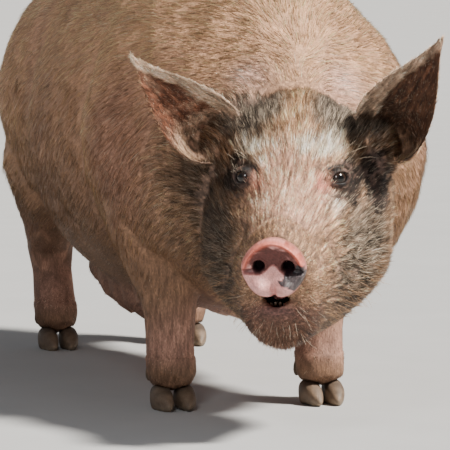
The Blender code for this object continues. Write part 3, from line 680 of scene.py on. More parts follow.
def ear_share(points):
    """How much each point belongs to an ear."""
    near = np.minimum(distance_to(points, "ear_left", 0.012), distance_to(points, "ear_right", 0.012))
    local = in_head(points)
    beyond = np.zeros(len(points))
    for base, axis, here in ears(local):
        beyond = np.maximum(beyond, ramp((local - base) @ axis, 0.004, 0.034) * here)
    return fall(near, 0.004, 0.010) * beyond


def closed_on_disc(local):
    """Draws the collar of skin in against the edge of the snout's disc."""
    off = local - np.array([MUZZLE_X, 0, 0])
    far = np.hypot(off[:, 0], off[:, 2])
    near = bell(far, 0.051, 0.008) * bell(off[:, 1], 0.016, 0.014)
    made = local.copy()
    for axis in (0, 2):
        made[:, axis] -= off[:, axis] / np.maximum(far, 1e-4) * near * 0.0048
    made[:, 1] -= near * 0.0020
    return made


def shaped_skin():
    """Smooths away the facets, sinks the skin by the coat's depth and adds its folds."""
    skin = raw_skin()
    points = points_of(skin.data)
    local = in_head(points)
    ear = ear_share(points)
    depth = local[:, 1]
    low = in_pig(points)[:, 2]
    face = fall(depth, 0.24, 0.38)
    opening = spot(local, (MUZZLE_X, 0.04, MOUTH_Z), (0.05, 0.05, 0.014))
    for hand in (-1, 1):
        opening = np.maximum(opening, spot(local, sided(EYE, hand), (0.030, 0.030, 0.026)))
    legs = fall(low, 0.10, 0.30)
    weights = 1 - 0.72 * face
    weights = np.minimum(weights, 1 - 0.55 * legs)
    near_tail = tail_share(in_pig(points))
    weights = weights * (1 - 0.8 * opening) * (1 - 0.7 * ear) * (1 - 0.93 * near_tail)
    soften(skin, 26, np.clip(weights, 0.04, 1))

    points = points_of(skin.data)
    normals = normals_of(skin.data)
    local = in_head(points)
    pig = in_pig(points)
    bare = np.maximum(spot(local, (0, 0.0, 0.0), (0.07, 0.05, 0.09)), opening)
    inset = COAT_DEPTH + (FACE_DEPTH - COAT_DEPTH) * face
    inset = inset * (1 - 0.8 * bare) + ear * (EAR_GROWTH + 0.0008 - inset)
    inset = inset * (1 - 0.7 * tail_share(pig))
    inset = np.where(pig[:, 2] < 0.09, np.minimum(inset, 0.001), inset)
    inset = inset - 0.0026 * ear * ear_band(local) * inner_side(normals)
    points = points - normals * inset[:, None]

    # slow unevenness of fat and muscle
    swell = 0.0022 * ripple(pig, 0.11, 3) + 0.0010 * ripple(pig, 0.045, 4)
    calm = (1 - 0.85 * face) * (1 - ear) * ramp(pig[:, 2], 0.10, 0.25)
    points = points + normals * (swell * calm)[:, None]

    # folds of the body
    pig = in_pig(points)
    for hand in (-1, 1):
        for line, deep, wide in BODY_FOLDS:
            pig = furrow(pig, normals, [sided(p, hand) for p in line], deep, wide)
    points = pig + np.array(SHIFT)
    local = in_head(points)
    facing = normals @ TO_HEAD
    for hand in (-1, 1):
        for line, deep, wide in FACE_FOLDS:
            local = furrow(local, facing, [sided(p, hand) for p in line], deep, wide)
    for height, y, wide in MUZZLE_RINGS:
        ring = [(0.064 * math.cos(a), y, 0.062 * math.sin(a)) for a in np.linspace(-0.6, math.pi + 0.6, 17)]
        local = furrow(local, facing, ring, height, wide)
    local = closed_on_disc(local)
    local = dab(local, (MUZZLE_X, 0.036, MOUTH_Z - 0.0135), (0.0150, 0.032, 0.0085), (0, 0, -0.0050))
    points = moved_by(local, HEAD)
    set_points(skin.data, points)

    # fewer triangles on the body, most on the face and ears
    local = in_head(points)
    face = fall(local[:, 1], 0.34, 0.46)
    weights = np.clip(1 - 0.80 * np.maximum(face, ear), 0.05, 1)
    weighted(skin, weights)
    triangles = sum(len(p.vertices) - 2 for p in skin.data.polygons)
    thin = skin.modifiers.new("thin", "DECIMATE")
    thin.ratio = min(1.0, SKIN_TRIANGLES / triangles)
    thin.vertex_group = "weight"
    applied(skin)
    skin.vertex_groups.clear()
    skin.data.shade_smooth()
    return skin


# Lines on the left side along the shoulder's back edge and the flank, where shade and a highlight are
# painted; folds: a line of places on the left side, the depth (less than 0 raises) and the width
SHOULDER_EDGE = [(0.290, 0.110, 0.64), (0.285, 0.120, 0.52), (0.262, 0.135, 0.38), (0.170, 0.120, 0.22)]
FLANK_LINE = [(0.262, 0.540, 0.62), (0.270, 0.560, 0.50), (0.252, 0.600, 0.38), (0.172, 0.660, 0.24)]
BODY_FOLDS = [
    ([(0.17, -0.20, 0.52), (0.20, -0.20, 0.40), (0.17, -0.19, 0.28)], 0.004, 0.012),
    ([(0.19, -0.14, 0.50), (0.22, -0.13, 0.40), (0.20, -0.12, 0.30)], 0.003, 0.010),
    ([(0.10, -0.11, 0.235), (0.13, -0.12, 0.215), (0.17, -0.10, 0.225)], 0.004, 0.010),
    ([(0.09, -0.065, 0.120), (0.13, -0.075, 0.118), (0.17, -0.065, 0.120)], 0.0025, 0.007),
    ([(0.09, -0.065, 0.090), (0.13, -0.075, 0.088), (0.17, -0.065, 0.090)], 0.0025, 0.006),
    ([(0.09, 0.83, 0.095), (0.13, 0.825, 0.092), (0.17, 0.83, 0.095)], 0.0025, 0.006),
    ([(0.16, 0.93, 0.205), (0.13, 0.96, 0.19), (0.10, 0.94, 0.20)], 0.003, 0.010),
]
FACE_FOLDS = [
    ([(0.060, 0.105, 0.052), (0.078, 0.118, 0.020), (0.084, 0.128, -0.020)], 0.0022, 0.008),
    ([(0.066, 0.080, 0.036), (0.072, 0.086, 0.005), (0.074, 0.095, -0.030)], 0.0018, 0.006),
    ([(0.094, 0.150, -0.062), (0.108, 0.180, -0.045), (0.124, 0.220, -0.040)], 0.0025, 0.012),
    ([(0.010, 0.190, 0.124), (0.030, 0.200, 0.128), (0.050, 0.208, 0.128)], 0.0012, 0.008),
    ([(0.052, 0.190, 0.104), (0.062, 0.205, 0.116), (0.085, 0.222, 0.119)], 0.0022, 0.006),
    ([(0.052, 0.172, 0.074), (0.066, 0.176, 0.064), (0.088, 0.190, 0.060)], 0.0020, 0.005),
    ([(0.052, 0.160, 0.066), (0.068, 0.162, 0.052), (0.092, 0.178, 0.046)], 0.0016, 0.006),
]
# Rings round the muzzle: depth, distance behind the disc, width
MUZZLE_RINGS = [
    (-0.0030, 0.030, 0.009),
    (0.0018, 0.046, 0.007),
    (-0.0008, 0.056, 0.008),
    (0.0010, 0.068, 0.007),
]


# Markings, with painted light and shade


def blend(colours, tone, share):
    share = np.clip(share, 0, 1)[:, None]
    return colours * (1 - share) + np.array(tone) * share


def inner_side(normals):
    """1 on the cupped side of the ears, which faces forward."""
    return ramp(-(normals @ TO_HEAD)[:, 1], -0.05, 0.25)


def markings_and_painted_light(points, normals, ear):
    """The tone of the coat at each place, shared by skin and hair: its markings, with painted shade low on
    the body, behind the shoulder, along the flank, on the lower face and under the chin, and some painted
    light on the top of the back and the round of the shoulder.
    """
    pig = in_pig(points)
    local = in_head(points)
    broad = ripple(pig, 0.16, 11)
    fine = ripple(pig, 0.030, 12)
    rough = 0.16 * fine + 0.10 * ripple(pig, 0.012, 13)
    height = pig[:, 2]
    tone = filled(points, GINGER)
    # paler towards the top of the back: partly the coat's own paler tone, partly painted sunlight from above
    tone = blend(tone, GINGER_PALE, 0.9 * ramp(height + 0.03 * broad, 0.50, 0.78))
    tone = blend(tone, GINGER_DEEP, 0.55 * ramp(broad, 0.2, 1.0))
    tone = blend(tone, PINK, 0.35 * ramp(-broad + 0.3 * fine, 0.3, 1.1))
    # painted shade: the coat darker low on the body
    tone = blend(tone, PAINTED_SHADE, 0.65 * fall(height, 0.14, 0.46))
    belly = fall(height + 0.4 * np.abs(pig[:, 0]), 0.17, 0.26) * ramp(height, 0.06, 0.10)
    tone = blend(tone, PINK, 0.85 * belly)
    # Dusky patches on the shoulder, on the flank and low by the hind leg; the one on the flank, at 0.35 of
    # the share, is painted shade
    for hand, share in ((-1, 0.75), (1, 0.55)):
        for amount, x, y, z, reach, edge in (
            (share, 0.25, -0.06, 0.45, (0.11, 0.10, 0.13), 0.5),
            (0.35 * share, 0.27, 0.38, 0.40, (0.12, 0.16, 0.12), 0.6),
            (0.4, 0.15, 0.90, 0.22, (0.09, 0.10, 0.10), 0.6),
        ):
            tone = blend(tone, DUSKY, amount * patch(pig, (hand * x, y, z), reach, rough, edge))
    for hand in (-1, 1):
        edge = along_line(pig, [(hand * x, y + 0.030, z) for x, y, z in SHOULDER_EDGE])
        rim = along_line(pig, [(hand * x, y - 0.045, z) for x, y, z in SHOULDER_EDGE])
        flank = along_line(pig, [(hand * x, y, z) for x, y, z in FLANK_LINE])
        # painted highlight on the round of the shoulder, in front of its back edge
        tone = blend(tone, GINGER_PALE, 0.30 * bell(rim, 0, 0.040))
        # painted shade just behind the shoulder's back edge, along the flank's line and in a patch behind the
        # shoulder
        tone = blend(tone, PAINTED_SHADE, 0.42 * bell(edge, 0, 0.045))
        tone = blend(tone, PAINTED_SHADE, 0.34 * bell(flank, 0, 0.065))
        behind = patch(pig, (hand * 0.27, 0.33, 0.42), (0.10, 0.20, 0.17), rough, 0.6)
        tone = blend(tone, PAINTED_SHADE, 0.42 * behind)
    tone = blend(tone, TUFT_PINK, 1.1 * spot(local, (-0.088, 0.375, 0.205), (0.034, 0.034, 0.040)))
    tone = blend(tone, TUFT_PINK, 1.1 * spot(local, (0.060, 0.425, 0.200), (0.034, 0.040, 0.040)))

    # the face
    jaw = fall(local[:, 2], -0.04, 0.10)
    face = fall(local[:, 1], 0.33 - 0.10 * jaw, 0.40 + 0.04 * jaw)
    top = ramp(local[:, 2], -0.03, 0.03)
    sides = ramp(np.abs(local[:, 0]), 0.060, 0.100) * fall(local[:, 2], 0.05, 0.10)
    bridge = top * patch(local, (0.004, 0.155, 0.085), (0.074, 0.105, 0.085), rough, 0.35)
    face_tone = filled(points, COLLAR)
    # painted shade: the face darker towards its underside and on the lower sides of the muzzle
    face_tone = blend(face_tone, FACE_PAINTED_SHADE, 0.85 * fall(local[:, 2], -0.11, -0.03))
    face_tone = blend(face_tone, FACE_PAINTED_SHADE, 0.6 * sides)
    face_tone = blend(face_tone, BRIDGE, bridge)
    face_tone = blend(face_tone, COLLAR, 0.9 * fall(local[:, 1] + 0.02 * rough, 0.040, 0.062))
    face_tone = blend(face_tone, BRIDGE, 0.40 * fall(along_line(local, PALE_STREAK), 0.003, 0.014))
    for mark, share, rows in FACE_MARKS:
        face_tone = blend(face_tone, mark, share * patches(local, rough, rows))
    for hand, share in ((-1, 0.60), (1, 0.95)):
        pink = spot(local, (hand * 0.050, 0.178, 0.083), (0.014, 0.018, 0.017))
        face_tone = blend(face_tone, EYE_PINK, share * pink)
    black = patch(local, (0.128, 0.262, 0.066), (0.034, 0.048, 0.062), 0.5 * rough, 0.2)
    face_tone = blend(face_tone, BLACK, 0.97 * black)
    face_tone = blend(face_tone, WHITE_HAIR, 0.55 * spot(local, (0.074, 0.172, 0.056), (0.012, 0.014, 0.013)))

    # chin, lips and mouth
    # the underside of the chin darker: partly its own dark brown, partly painted shade under the jaw
    chin = fall(local[:, 2], -0.085, -0.060) * fall(local[:, 1], 0.055, 0.10)
    face_tone = blend(face_tone, CHIN, 0.9 * chin)
    lip = spot(local, (MUZZLE_X, 0.018, MOUTH_Z - 0.018), (0.040, 0.030, 0.015))
    face_tone = blend(face_tone, LIP, 1.2 * lip)
    tone = tone * (1 - face[:, None]) + face_tone * face[:, None]

    # the ears: dark inside, tan on the outer side and on the folded upper edge
    inner = inner_side(normals) * (1 - ear_band(local))
    left = (local[:, 0] > 0).astype(float)
    up_ear = np.where(left > 0, ear_place(local, "ear_left")[0], ear_place(local, "ear_right")[0])
    reds = filled(points, EAR_RED)
    inside = blend(reds, EAR_DARK, left * (0.85 - 0.35 * ramp(up_ear, 0.35, 0.9) + 0.5 * rough))
    inside = blend(inside, EAR_TAN, (1 - left) * 0.55 * fall(up_ear + rough, 0.16, 0.40))
    inside = blend(inside, EAR_TAN, 0.35 * (1 - left) * ramp(up_ear + rough, 0.75, 1.0))
    outside = blend(filled(points, GINGER), EAR_TAN, 0.25 + 0.75 * ear_band(local))
    outside = blend(outside, GREY, 0.25 * left + 0.35 * rough)
    outside = blend(outside, EAR_DARK, 0.45 * left * ramp(up_ear, 0.4, 1.0))
    ear_tone = outside * (1 - inner[:, None]) + inside * inner[:, None]
    tone = tone * (1 - ear[:, None]) + ear_tone * ear[:, None]
    return tone * (1 + 0.05 * ripple(pig, 0.02, 14))[:, None]


# The pale line from the left eye down to the snout
PALE_STREAK = [(0.074, 0.176, 0.062), (0.078, 0.130, 0.040), (0.070, 0.080, 0.030), (0.066, 0.050, -0.010)]
# Marks of the face in the order they are laid: a tone, how much of it, and rows for patches()
FACE_MARKS = [
    (GREY, 0.97, [
        (1, (-0.082, 0.300, 0.172), (0.078, 0.060, 0.048), 0.7, 0.34),
        (1, (0.084, 0.300, 0.168), (0.080, 0.060, 0.050), 0.7, 0.34),
    ]),
    (GINGER, 0.75, [(1, (0.002, 0.320, 0.200), (0.022, 0.085, 0.075), 1, 0.7)]),
    (WHITE_HAIR, 0.80, [
        (1, (-0.070, 0.234, 0.126), (0.036, 0.032, 0.015), 2.6, 0.60),
        (1, (0.048, 0.228, 0.131), (0.044, 0.030, 0.017), 2.6, 0.60),
        (0.15, (-0.016, 0.230, 0.140), (0.036, 0.026, 0.010), 1, 0.6),
    ]),
    (CHEEK_GREY, 0.78, [
        (1, (-0.118, 0.185, -0.005), (0.042, 0.070, 0.056), 1, 0.35),
        (1, (-0.100, 0.150, -0.050), (0.034, 0.052, 0.044), 1, 0.45),
    ]),
    (CHEEK_GREY, 0.94, [
        (1, (0.118, 0.185, -0.012), (0.042, 0.070, 0.056), 1, 0.35),
        (1, (0.100, 0.150, -0.050), (0.034, 0.052, 0.044), 1, 0.45),
    ]),
    (CHEEK_GREY, 0.75, [(1, (-0.150, 0.285, 0.04), (0.040, 0.06, 0.09), 1, 0.4)]),
    (EYE_DARK, 0.96, [
        (1, (-0.093, 0.215, 0.089), (0.041, 0.048, 0.032), 0.8, 0.24),
        (1, (0.086, 0.212, 0.082), (0.034, 0.042, 0.037), 0.8, 0.24),
    ]),
]


def salt(points):
    """How much pale hair stands among the dark of the grey areas."""
    local = in_head(points)
    grey = np.max([spot(local, (x, 0.290, 0.160), (0.07, 0.06, 0.05)) for x in (-0.085, 0.085)], axis=0)
    for hand, share in ((-1, 0.7), (1, 1.0)):
        grey = np.maximum(grey, share * spot(local, (hand * 0.112, 0.170, -0.015), (0.05, 0.08, 0.07)))
        grey = np.maximum(grey, 0.8 * spot(local, (hand * 0.060, 0.232, 0.130), (0.045, 0.030, 0.022)))
        grey = grey * (1 - patch(local, (hand * 0.094, 0.214, 0.086), (0.032, 0.045, 0.032)))
    return grey


# The lie of the coat


def tail_way(pig):
    """The direction along the tail at each place, and how near it is."""
    line = np.array(TAIL_LINE)[:, :3]
    way = np.zeros_like(pig)
    nearest = np.full(len(pig), np.inf)
    for start, end in zip(line[:-1], line[1:]):
        away = off_segment(pig, start, end)
        better = away < nearest
        nearest[better] = away[better]
        way[better] = unit(end - start)
    return way, nearest


def tail_share(pig):
    """How much each point belongs to the tail."""
    near = tail_way(pig)[1]
    return fall(near, 0.022, 0.045) * ramp(pig[:, 1], 0.995, 1.035)


def leg_share(pig):
    """How much each point belongs to a lower leg."""
    share = np.zeros(len(pig))
    for foot in (FORE_FOOT, HIND_FOOT):
        away = np.hypot(np.abs(pig[:, 0]) - foot[0], pig[:, 1] - foot[1] - 0.02)
        share = np.maximum(share, fall(away, 0.085, 0.13))
    return share * fall(pig[:, 2], 0.20, 0.36)


def laid(ways, normals):
    """Directions turned to lie along the surface."""
    return unit(ways - normals * np.sum(ways * normals, axis=1)[:, None])


def from_mouth(local):
    """The way of each place of the head from the point that its hair spreads from."""
    return local - np.array([0.0, -0.075, -0.030])


def lie_of(points, normals, ear):
    """The direction in which the hair lies: from the snout back, tailward and down the sides."""
    pig = in_pig(points)
    local = in_head(points)
    down = 0.30 + 0.95 * fall(pig[:, 2], 0.40, 0.76)
    down = down * ramp(normals[:, 2], -0.9, -0.3)
    outward = 0.10 * np.sign(pig[:, 0]) * ramp(np.abs(pig[:, 0]), 0, 0.1)
    way = np.stack([outward, np.ones(len(pig)), -down], axis=1)
    leg = leg_share(pig)[:, None]
    way = unit(way) * (1 - leg) + np.array([0, 0.30, -1.0]) * leg
    on_tail = tail_share(pig)[:, None]
    way = way * (1 - on_tail) + tail_way(pig)[0] * on_tail
    out = from_mouth(local)
    out[:, 2] = np.where(out[:, 2] > 0, out[:, 2] * 1.25, out[:, 2] * 0.85)
    out = unit(out) @ TO_WORLD
    head = fall(local[:, 1], 0.27, 0.42)[:, None]
    way = unit(way) * (1 - head) + out * head
    for _, axis, here in ears(local):
        share = (ear * here)[:, None]
        way = way * (1 - share) + axis @ TO_WORLD * share
    swirl = 0.12 * ripple(pig, 0.09, 21) + 0.045 * ripple(pig, 0.022, 22)
    swirl += 0.20 * ripple(pig, 0.010, 25) * fall(local[:, 1], 0.34, 0.42) * ramp(local[:, 1], 0.18, 0.26)
    for share, size, seed, x in ((0.75, 0.013, 23, 0.105), (0.30, 0.016, 24, -0.105)):
        swirl += share * ripple(pig, size, seed) * spot(local, (x, 0.165, -0.020), (0.040, 0.075, 0.065))
    way = laid(way, normals)
    side = np.cross(normals, way)
    return unit(way * np.cos(swirl)[:, None] + side * np.sin(swirl)[:, None])


def flow_of(points, ear):
    """Each place in coordinates shortened along the coat's lie, so that noise read there is streaky."""
    pig = in_pig(points)
    local = in_head(points)
    along = unit(np.array([0.0, 1.0, -0.5]))
    flow = pig - np.outer(pig @ along, along) * 0.88
    legs = leg_share(pig) > 0.5
    flow[legs] = pig[legs] * np.array([1, 1, 0.14])
    out = from_mouth(local)
    far = np.linalg.norm(out, axis=1, keepdims=True)
    head = local[:, 1] < 0.36
    radial = unit(out) * (0.25 + 0.14 * (far - 0.25)) + 4.0
    flow[head] = radial[head]
    for _, axis, side in ears(local):
        here = (ear > 0.5) & side
        flow[here] = local[here] - np.outer(local[here] @ axis, axis) * 0.86
    return flow


def streaky(points, ear):
    """Factors around 1 that lighten and darken the coat in narrow locks."""
    flow = flow_of(points, ear)
    local = in_head(points)
    rough = 0.34 * ripple(flow, 0.0026, 91) + 0.36 * ripple(flow, 0.0052, 92)
    cheek = spot(local, (0.108, 0.165, -0.035), (0.045, 0.080, 0.080))
    grey = salt(points)
    head = fall(local[:, 1], 0.34, 0.42)
    return np.exp(rough * (0.70 + 0.65 * head + 1.6 * cheek + 0.5 * grey))


# Strands


def unwrapped(points, ear):
    """Each root's place on an unwrap of the skin by parts: trunk, head, legs, ears and tail, each
    rolled flat about its own axis."""
    pig = in_pig(points)
    local = in_head(points)
    turn = np.arctan2(pig[:, 0], pig[:, 2] - 0.45) / (2 * math.pi) + 0.5
    u = 0.01 + 0.97 * turn
    v = 0.41 + 0.57 * np.clip((pig[:, 1] + 0.50) / 1.62, 0, 1)
    for i, foot in enumerate((FORE_FOOT, HIND_FOOT)):
        for hand in (-1, 1):
            dx, dy = pig[:, 0] - hand * foot[0], pig[:, 1] - foot[1] - 0.02
            here = (np.hypot(dx, dy) < 0.12) & (pig[:, 2] < 0.25)
            left = 0.58 + 0.1 * (2 * i + (hand > 0))
            u = np.where(here, left + 0.085 * (np.arctan2(dy, dx) / (2 * math.pi) + 0.5), u)
            v = np.where(here, 0.20 + 0.18 * np.clip(pig[:, 2] / 0.25, 0, 1), v)
    on_head = local[:, 1] < HEAD_COAT_END
    u = np.where(on_head, 0.01 + 0.54 * (np.arctan2(local[:, 0], local[:, 2]) / (2 * math.pi) + 0.5), u)
    v = np.where(on_head, 0.02 + 0.35 * np.clip((local[:, 1] + 0.01) / 0.355, 0, 1), v)
    for i, (base, axis, side) in enumerate(ears(local)):
        wide = unit(np.cross(axis, np.array([0.0, 1.0, 0.0])))
        deep = np.cross(axis, wide)
        off = local - base
        here = (ear > 0.5) & side
        angle = np.arctan2(off @ deep, off @ wide) / (2 * math.pi) + 0.5
        u = np.where(here, 0.58 + 0.20 * i + 0.18 * angle, u)
        v = np.where(here, 0.02 + 0.16 * np.clip(off @ axis / 0.26, 0, 1), v)
    return np.stack([u, v], axis=1)


def strands(name, roots, normals, lies, lengths, widths, lifts, tones, places, rings, bends, fade=HAIR_FADE):
    """Many tapered three-sided hairs joined in one mesh. Each starts under the skin, rises by lifts
    and runs along lies to a point; fade scales the tone of its root, middle and tip, the root darkened as
    painted shade and the tip lightened partly as painted light."""
    count = len(roots)
    side = unit(np.cross(normals, lies))
    each = rings * 3 + 1
    verts = np.empty((count, each, 3))
    shade = np.empty((count, each, 3))
    uv = np.empty((count, each, 2))
    lengths, widths, lifts = lengths[:, None], widths[:, None], lifts[:, None]
    for j in range(rings):
        t = j / rings
        rise = normals * (lengths * lifts * (1 - (1 - t) ** 2))
        core = roots + lies * lengths * t + rise + bends * lengths * t * t
        if j == 0:
            core = core - normals * ROOT_SINK
        half = widths * (0.75 if j == 0 and rings > 1 else (1 - t) ** 0.45)
        verts[:, 3 * j] = core - side * half
        verts[:, 3 * j + 1] = core + side * half
        verts[:, 3 * j + 2] = core + normals * half * 0.7
        shade[:, 3 * j : 3 * j + 3] = (tones * (fade[0] if j == 0 else fade[1]))[:, None]
        for k, (a, b) in enumerate(((0.04, 0.0), (0.96, 0.0), (0.5, 0.16))):
            uv[:, 3 * j + k] = places + np.array([a, t + b]) * PATCH
    verts[:, -1] = roots + lies * lengths + normals * lengths * lifts + bends * lengths
    shade[:, -1] = tones * fade[2]
    uv[:, -1] = places + np.array([0.5, 1.1]) * PATCH
    loops, sizes = [0, 2, 1], [3]
    for j in range(rings - 1):
        low, high = 3 * j, 3 * j + 3
        for a, b in ((0, 1), (1, 2), (2, 0)):
            loops += [low + a, low + b, high + b, high + a]
            sizes.append(4)
    last = 3 * (rings - 1)
    for a, b in ((0, 1), (1, 2), (2, 0)):
        loops += [last + a, last + b, each - 1]
        sizes.append(3)
    corners = (np.arange(count)[:, None] * each + np.array(loops)).ravel()
    starts = np.concatenate([[0], np.cumsum(np.tile(sizes, count))[:-1]])
    mesh = bpy.data.meshes.new(name)
    mesh.vertices.add(count * each)
    mesh.vertices.foreach_set("co", verts.astype(np.float32).ravel())
    mesh.loops.add(len(corners))
    mesh.loops.foreach_set("vertex_index", corners.astype(np.int32))
    mesh.polygons.add(count * len(sizes))
    mesh.polygons.foreach_set("loop_start", starts.astype(np.int32))
    mesh.update(calc_edges=True)
    mesh.shade_smooth()
    tinted(mesh, shade.reshape(-1, 3))
    layer = mesh.uv_layers.new(name="OFBake")
    layer.uv.foreach_set("vector", uv.reshape(-1, 2)[corners].astype(np.float32).ravel())
    return linked(name, mesh)


class Surface:
    """The skin's triangles, for drawing places for roots."""

    def __init__(self, obj, ear_at):
        self.triangles = triangles_of(obj.data)
        self.points = points_of(obj.data)
        self.normals = normals_of(obj.data)
        self.ear = ear_at
        corner = self.points[self.triangles]
        self.middle = corner.mean(axis=1)
        across = np.cross(corner[:, 1] - corner[:, 0], corner[:, 2] - corner[:, 0])
        self.area = np.linalg.norm(across, axis=1) / 2

    def draw(self, count, density, seed):
        """Places, normals and ear shares of count roots, spread by density over the skin."""
        rng = np.random.default_rng(seed)
        total = np.cumsum(self.area * density)
        picks = np.searchsorted(total, (np.arange(count) + rng.uniform(size=count)) / count * total[-1])
        picks = np.minimum(picks, len(self.triangles) - 1)
        a, b = rng.uniform(size=(2, count))
        fold = a + b > 1
        a[fold], b[fold] = 1 - a[fold], 1 - b[fold]
        shares = np.stack([1 - a - b, a, b], axis=1)
        corners = self.triangles[picks]
        points = np.einsum("nk,nkd->nd", shares, self.points[corners])
        normals = unit(np.einsum("nk,nkd->nd", shares, self.normals[corners]))
        ear = np.einsum("nk,nk->n", shares, self.ear[corners])
        return points, normals, ear


def bareness(points):
    """1 where no hair grows: mouth, nostrils, eye openings and the seats of the claws."""
    local = in_head(points)
    pig = in_pig(points)
    bare = spot(local, (MUZZLE_X, 0.055, MOUTH_Z - 0.002), (0.030, 0.050, 0.013)) > 0.45
    bare |= spot(local, (MUZZLE_X, 0.015, MOUTH_Z - 0.020), (0.034, 0.030, 0.014)) > 0.5
    bare |= (np.hypot((local[:, 0] - MUZZLE_X) / 0.050, local[:, 2] / 0.047) < 1) & (local[:, 1] < 0.026)
    bare |= (np.hypot(local[:, 0], local[:, 2]) < 0.04) & (local[:, 1] < 0.06)
    for hand in (-1, 1):
        across, up, _ = eye_axes(hand)
        off = points - eye_at(hand)
        opening = np.hypot(off @ across / 0.0225, off @ up / 0.0155) < 1
        bare |= opening & (np.abs(local[:, 0] - hand * EYE.x) < 0.04)
    bare |= pig[:, 2] < 0.032
    return bare.astype(float)


def coat_sizes(points, normals, ear, rng):
    """Length, half width and lift of the hair at each root."""
    pig = in_pig(points)
    local = in_head(points)
    count = len(points)
    length = np.full(count, HAIR_LENGTH)
    length += 0.008 * ramp(pig[:, 2], 0.55, 0.80)
    length += 0.008 * fall(np.abs(pig[:, 0]), 0.02, 0.10) * ramp(pig[:, 2], 0.6, 0.75)
    length -= 0.013 * fall(pig[:, 2], 0.18, 0.32)
    length -= 0.006 * leg_share(pig)
    head = fall(local[:, 1], 0.30, 0.42)
    face = 0.0080 + 0.0120 * ramp(local[:, 1], 0.10, 0.27)
    for hand in (-1, 1):
        face += 0.009 * spot(local, (hand * 0.112, 0.165, -0.050), (0.045, 0.090, 0.070))
        face -= 0.004 * spot(local, (hand * 0.075, 0.205, 0.090), (0.030, 0.030, 0.026))
    face += 0.006 * fall(local[:, 2], -0.13, -0.09)
    face -= 0.003 * fall(local[:, 1], 0.02, 0.06)
    face -= 0.008 * patch(local, (0.130, 0.262, 0.066), (0.030, 0.046, 0.062))
    length = length * (1 - head) + np.maximum(face, 0.0035) * head
    inner = inner_side(normals)
    ear_length = 0.0075 + 0.003 * inner
    length = length * (1 - ear) + ear_length * ear
    length *= rng.uniform(0.70, 1.30, count)
    width = HAIR_HALF_WIDTH - 0.00006 * head - 0.00022 * ear
    width = width * rng.uniform(0.75, 1.25, count)
    lift = HAIR_LIFT + 0.055 * head + 0.04 * ear
    tufts = ripple(flow_of(points, ear), 0.0045, 93) * (0.4 + 0.5 * head)
    lift = np.abs(lift * (1 + tufts) + rng.normal(0, 0.035, count))
    return length, width, lift


def coat_tones(points, normals, ear, rng):
    """Each hair's tone: the markings with their painted light and shade, with some hairs paler or darker than
    their place.
    """
    tone = markings_and_painted_light(points, normals, ear)
    grey = salt(points)
    count = len(points)
    shade = np.exp(rng.normal(0, 0.34, count)) * streaky(points, ear)
    tone = tone * shade[:, None]
    pale = rng.uniform(size=count) < 0.06 + 0.30 * grey
    tone[pale] = tone[pale] * 0.35 + np.array(WHITE_HAIR) * 0.65 * rng.uniform(0.6, 1.0, (pale.sum(), 1))
    dark = rng.uniform(size=count) < 0.07 + 0.22 * grey
    tone[dark] = tone[dark] * 0.45
    return tone


def coat(surface):
    """The coat in pieces: body, head and ears."""
    middle = surface.middle
    local = in_head(middle)
    ear = surface.ear[surface.triangles].mean(axis=1)
    grows = 1 - bareness(middle)
    head = (local[:, 1] < HEAD_COAT_END) | (ear > 0.5)
    pig = in_pig(middle)
    thinner = 1 - 0.55 * fall(pig[:, 2], 0.13, 0.24) * (1 - leg_share(pig))
    body_density = grows * (~head) * thinner
    hidden = 1 - 0.5 * ramp(local[:, 1], 0.28, 0.34) * (1 - ear)
    head_density = grows * head * hidden
    pieces = []
    for region, density, pieces_here, seed in (
        ("body", body_density, BODY_PIECES, 100),
        ("head", head_density, HEAD_PIECES, 200),
    ):
        for i in range(pieces_here):
            rng = np.random.default_rng(seed + i)
            points, normals, ear_here = surface.draw(STRANDS_A_PIECE, density, seed + 50 + i)
            lies = lie_of(points, normals, ear_here)
            lies = lies + rng.normal(0, STRAY[region], points.shape)
            lies = laid(lies, normals)
            length, width, lift = coat_sizes(points, normals, ear_here, rng)
            tones = coat_tones(points, normals, ear_here, rng)
            places = unwrapped(points, ear_here)
            bends = rng.normal(0, 0.03, points.shape)
            # the root darker by ROOT_SHADE as painted shade, the tip lighter partly as painted light
            pieces.append(
                strands(
                    f"coat_{region}_{i + 1}", points, normals, lies, length, width, lift, tones, places,
                    rings=1, bends=bends, fade=(ROOT_SHADE[region], 1.0, 1.35),
                )
            )
    return pieces


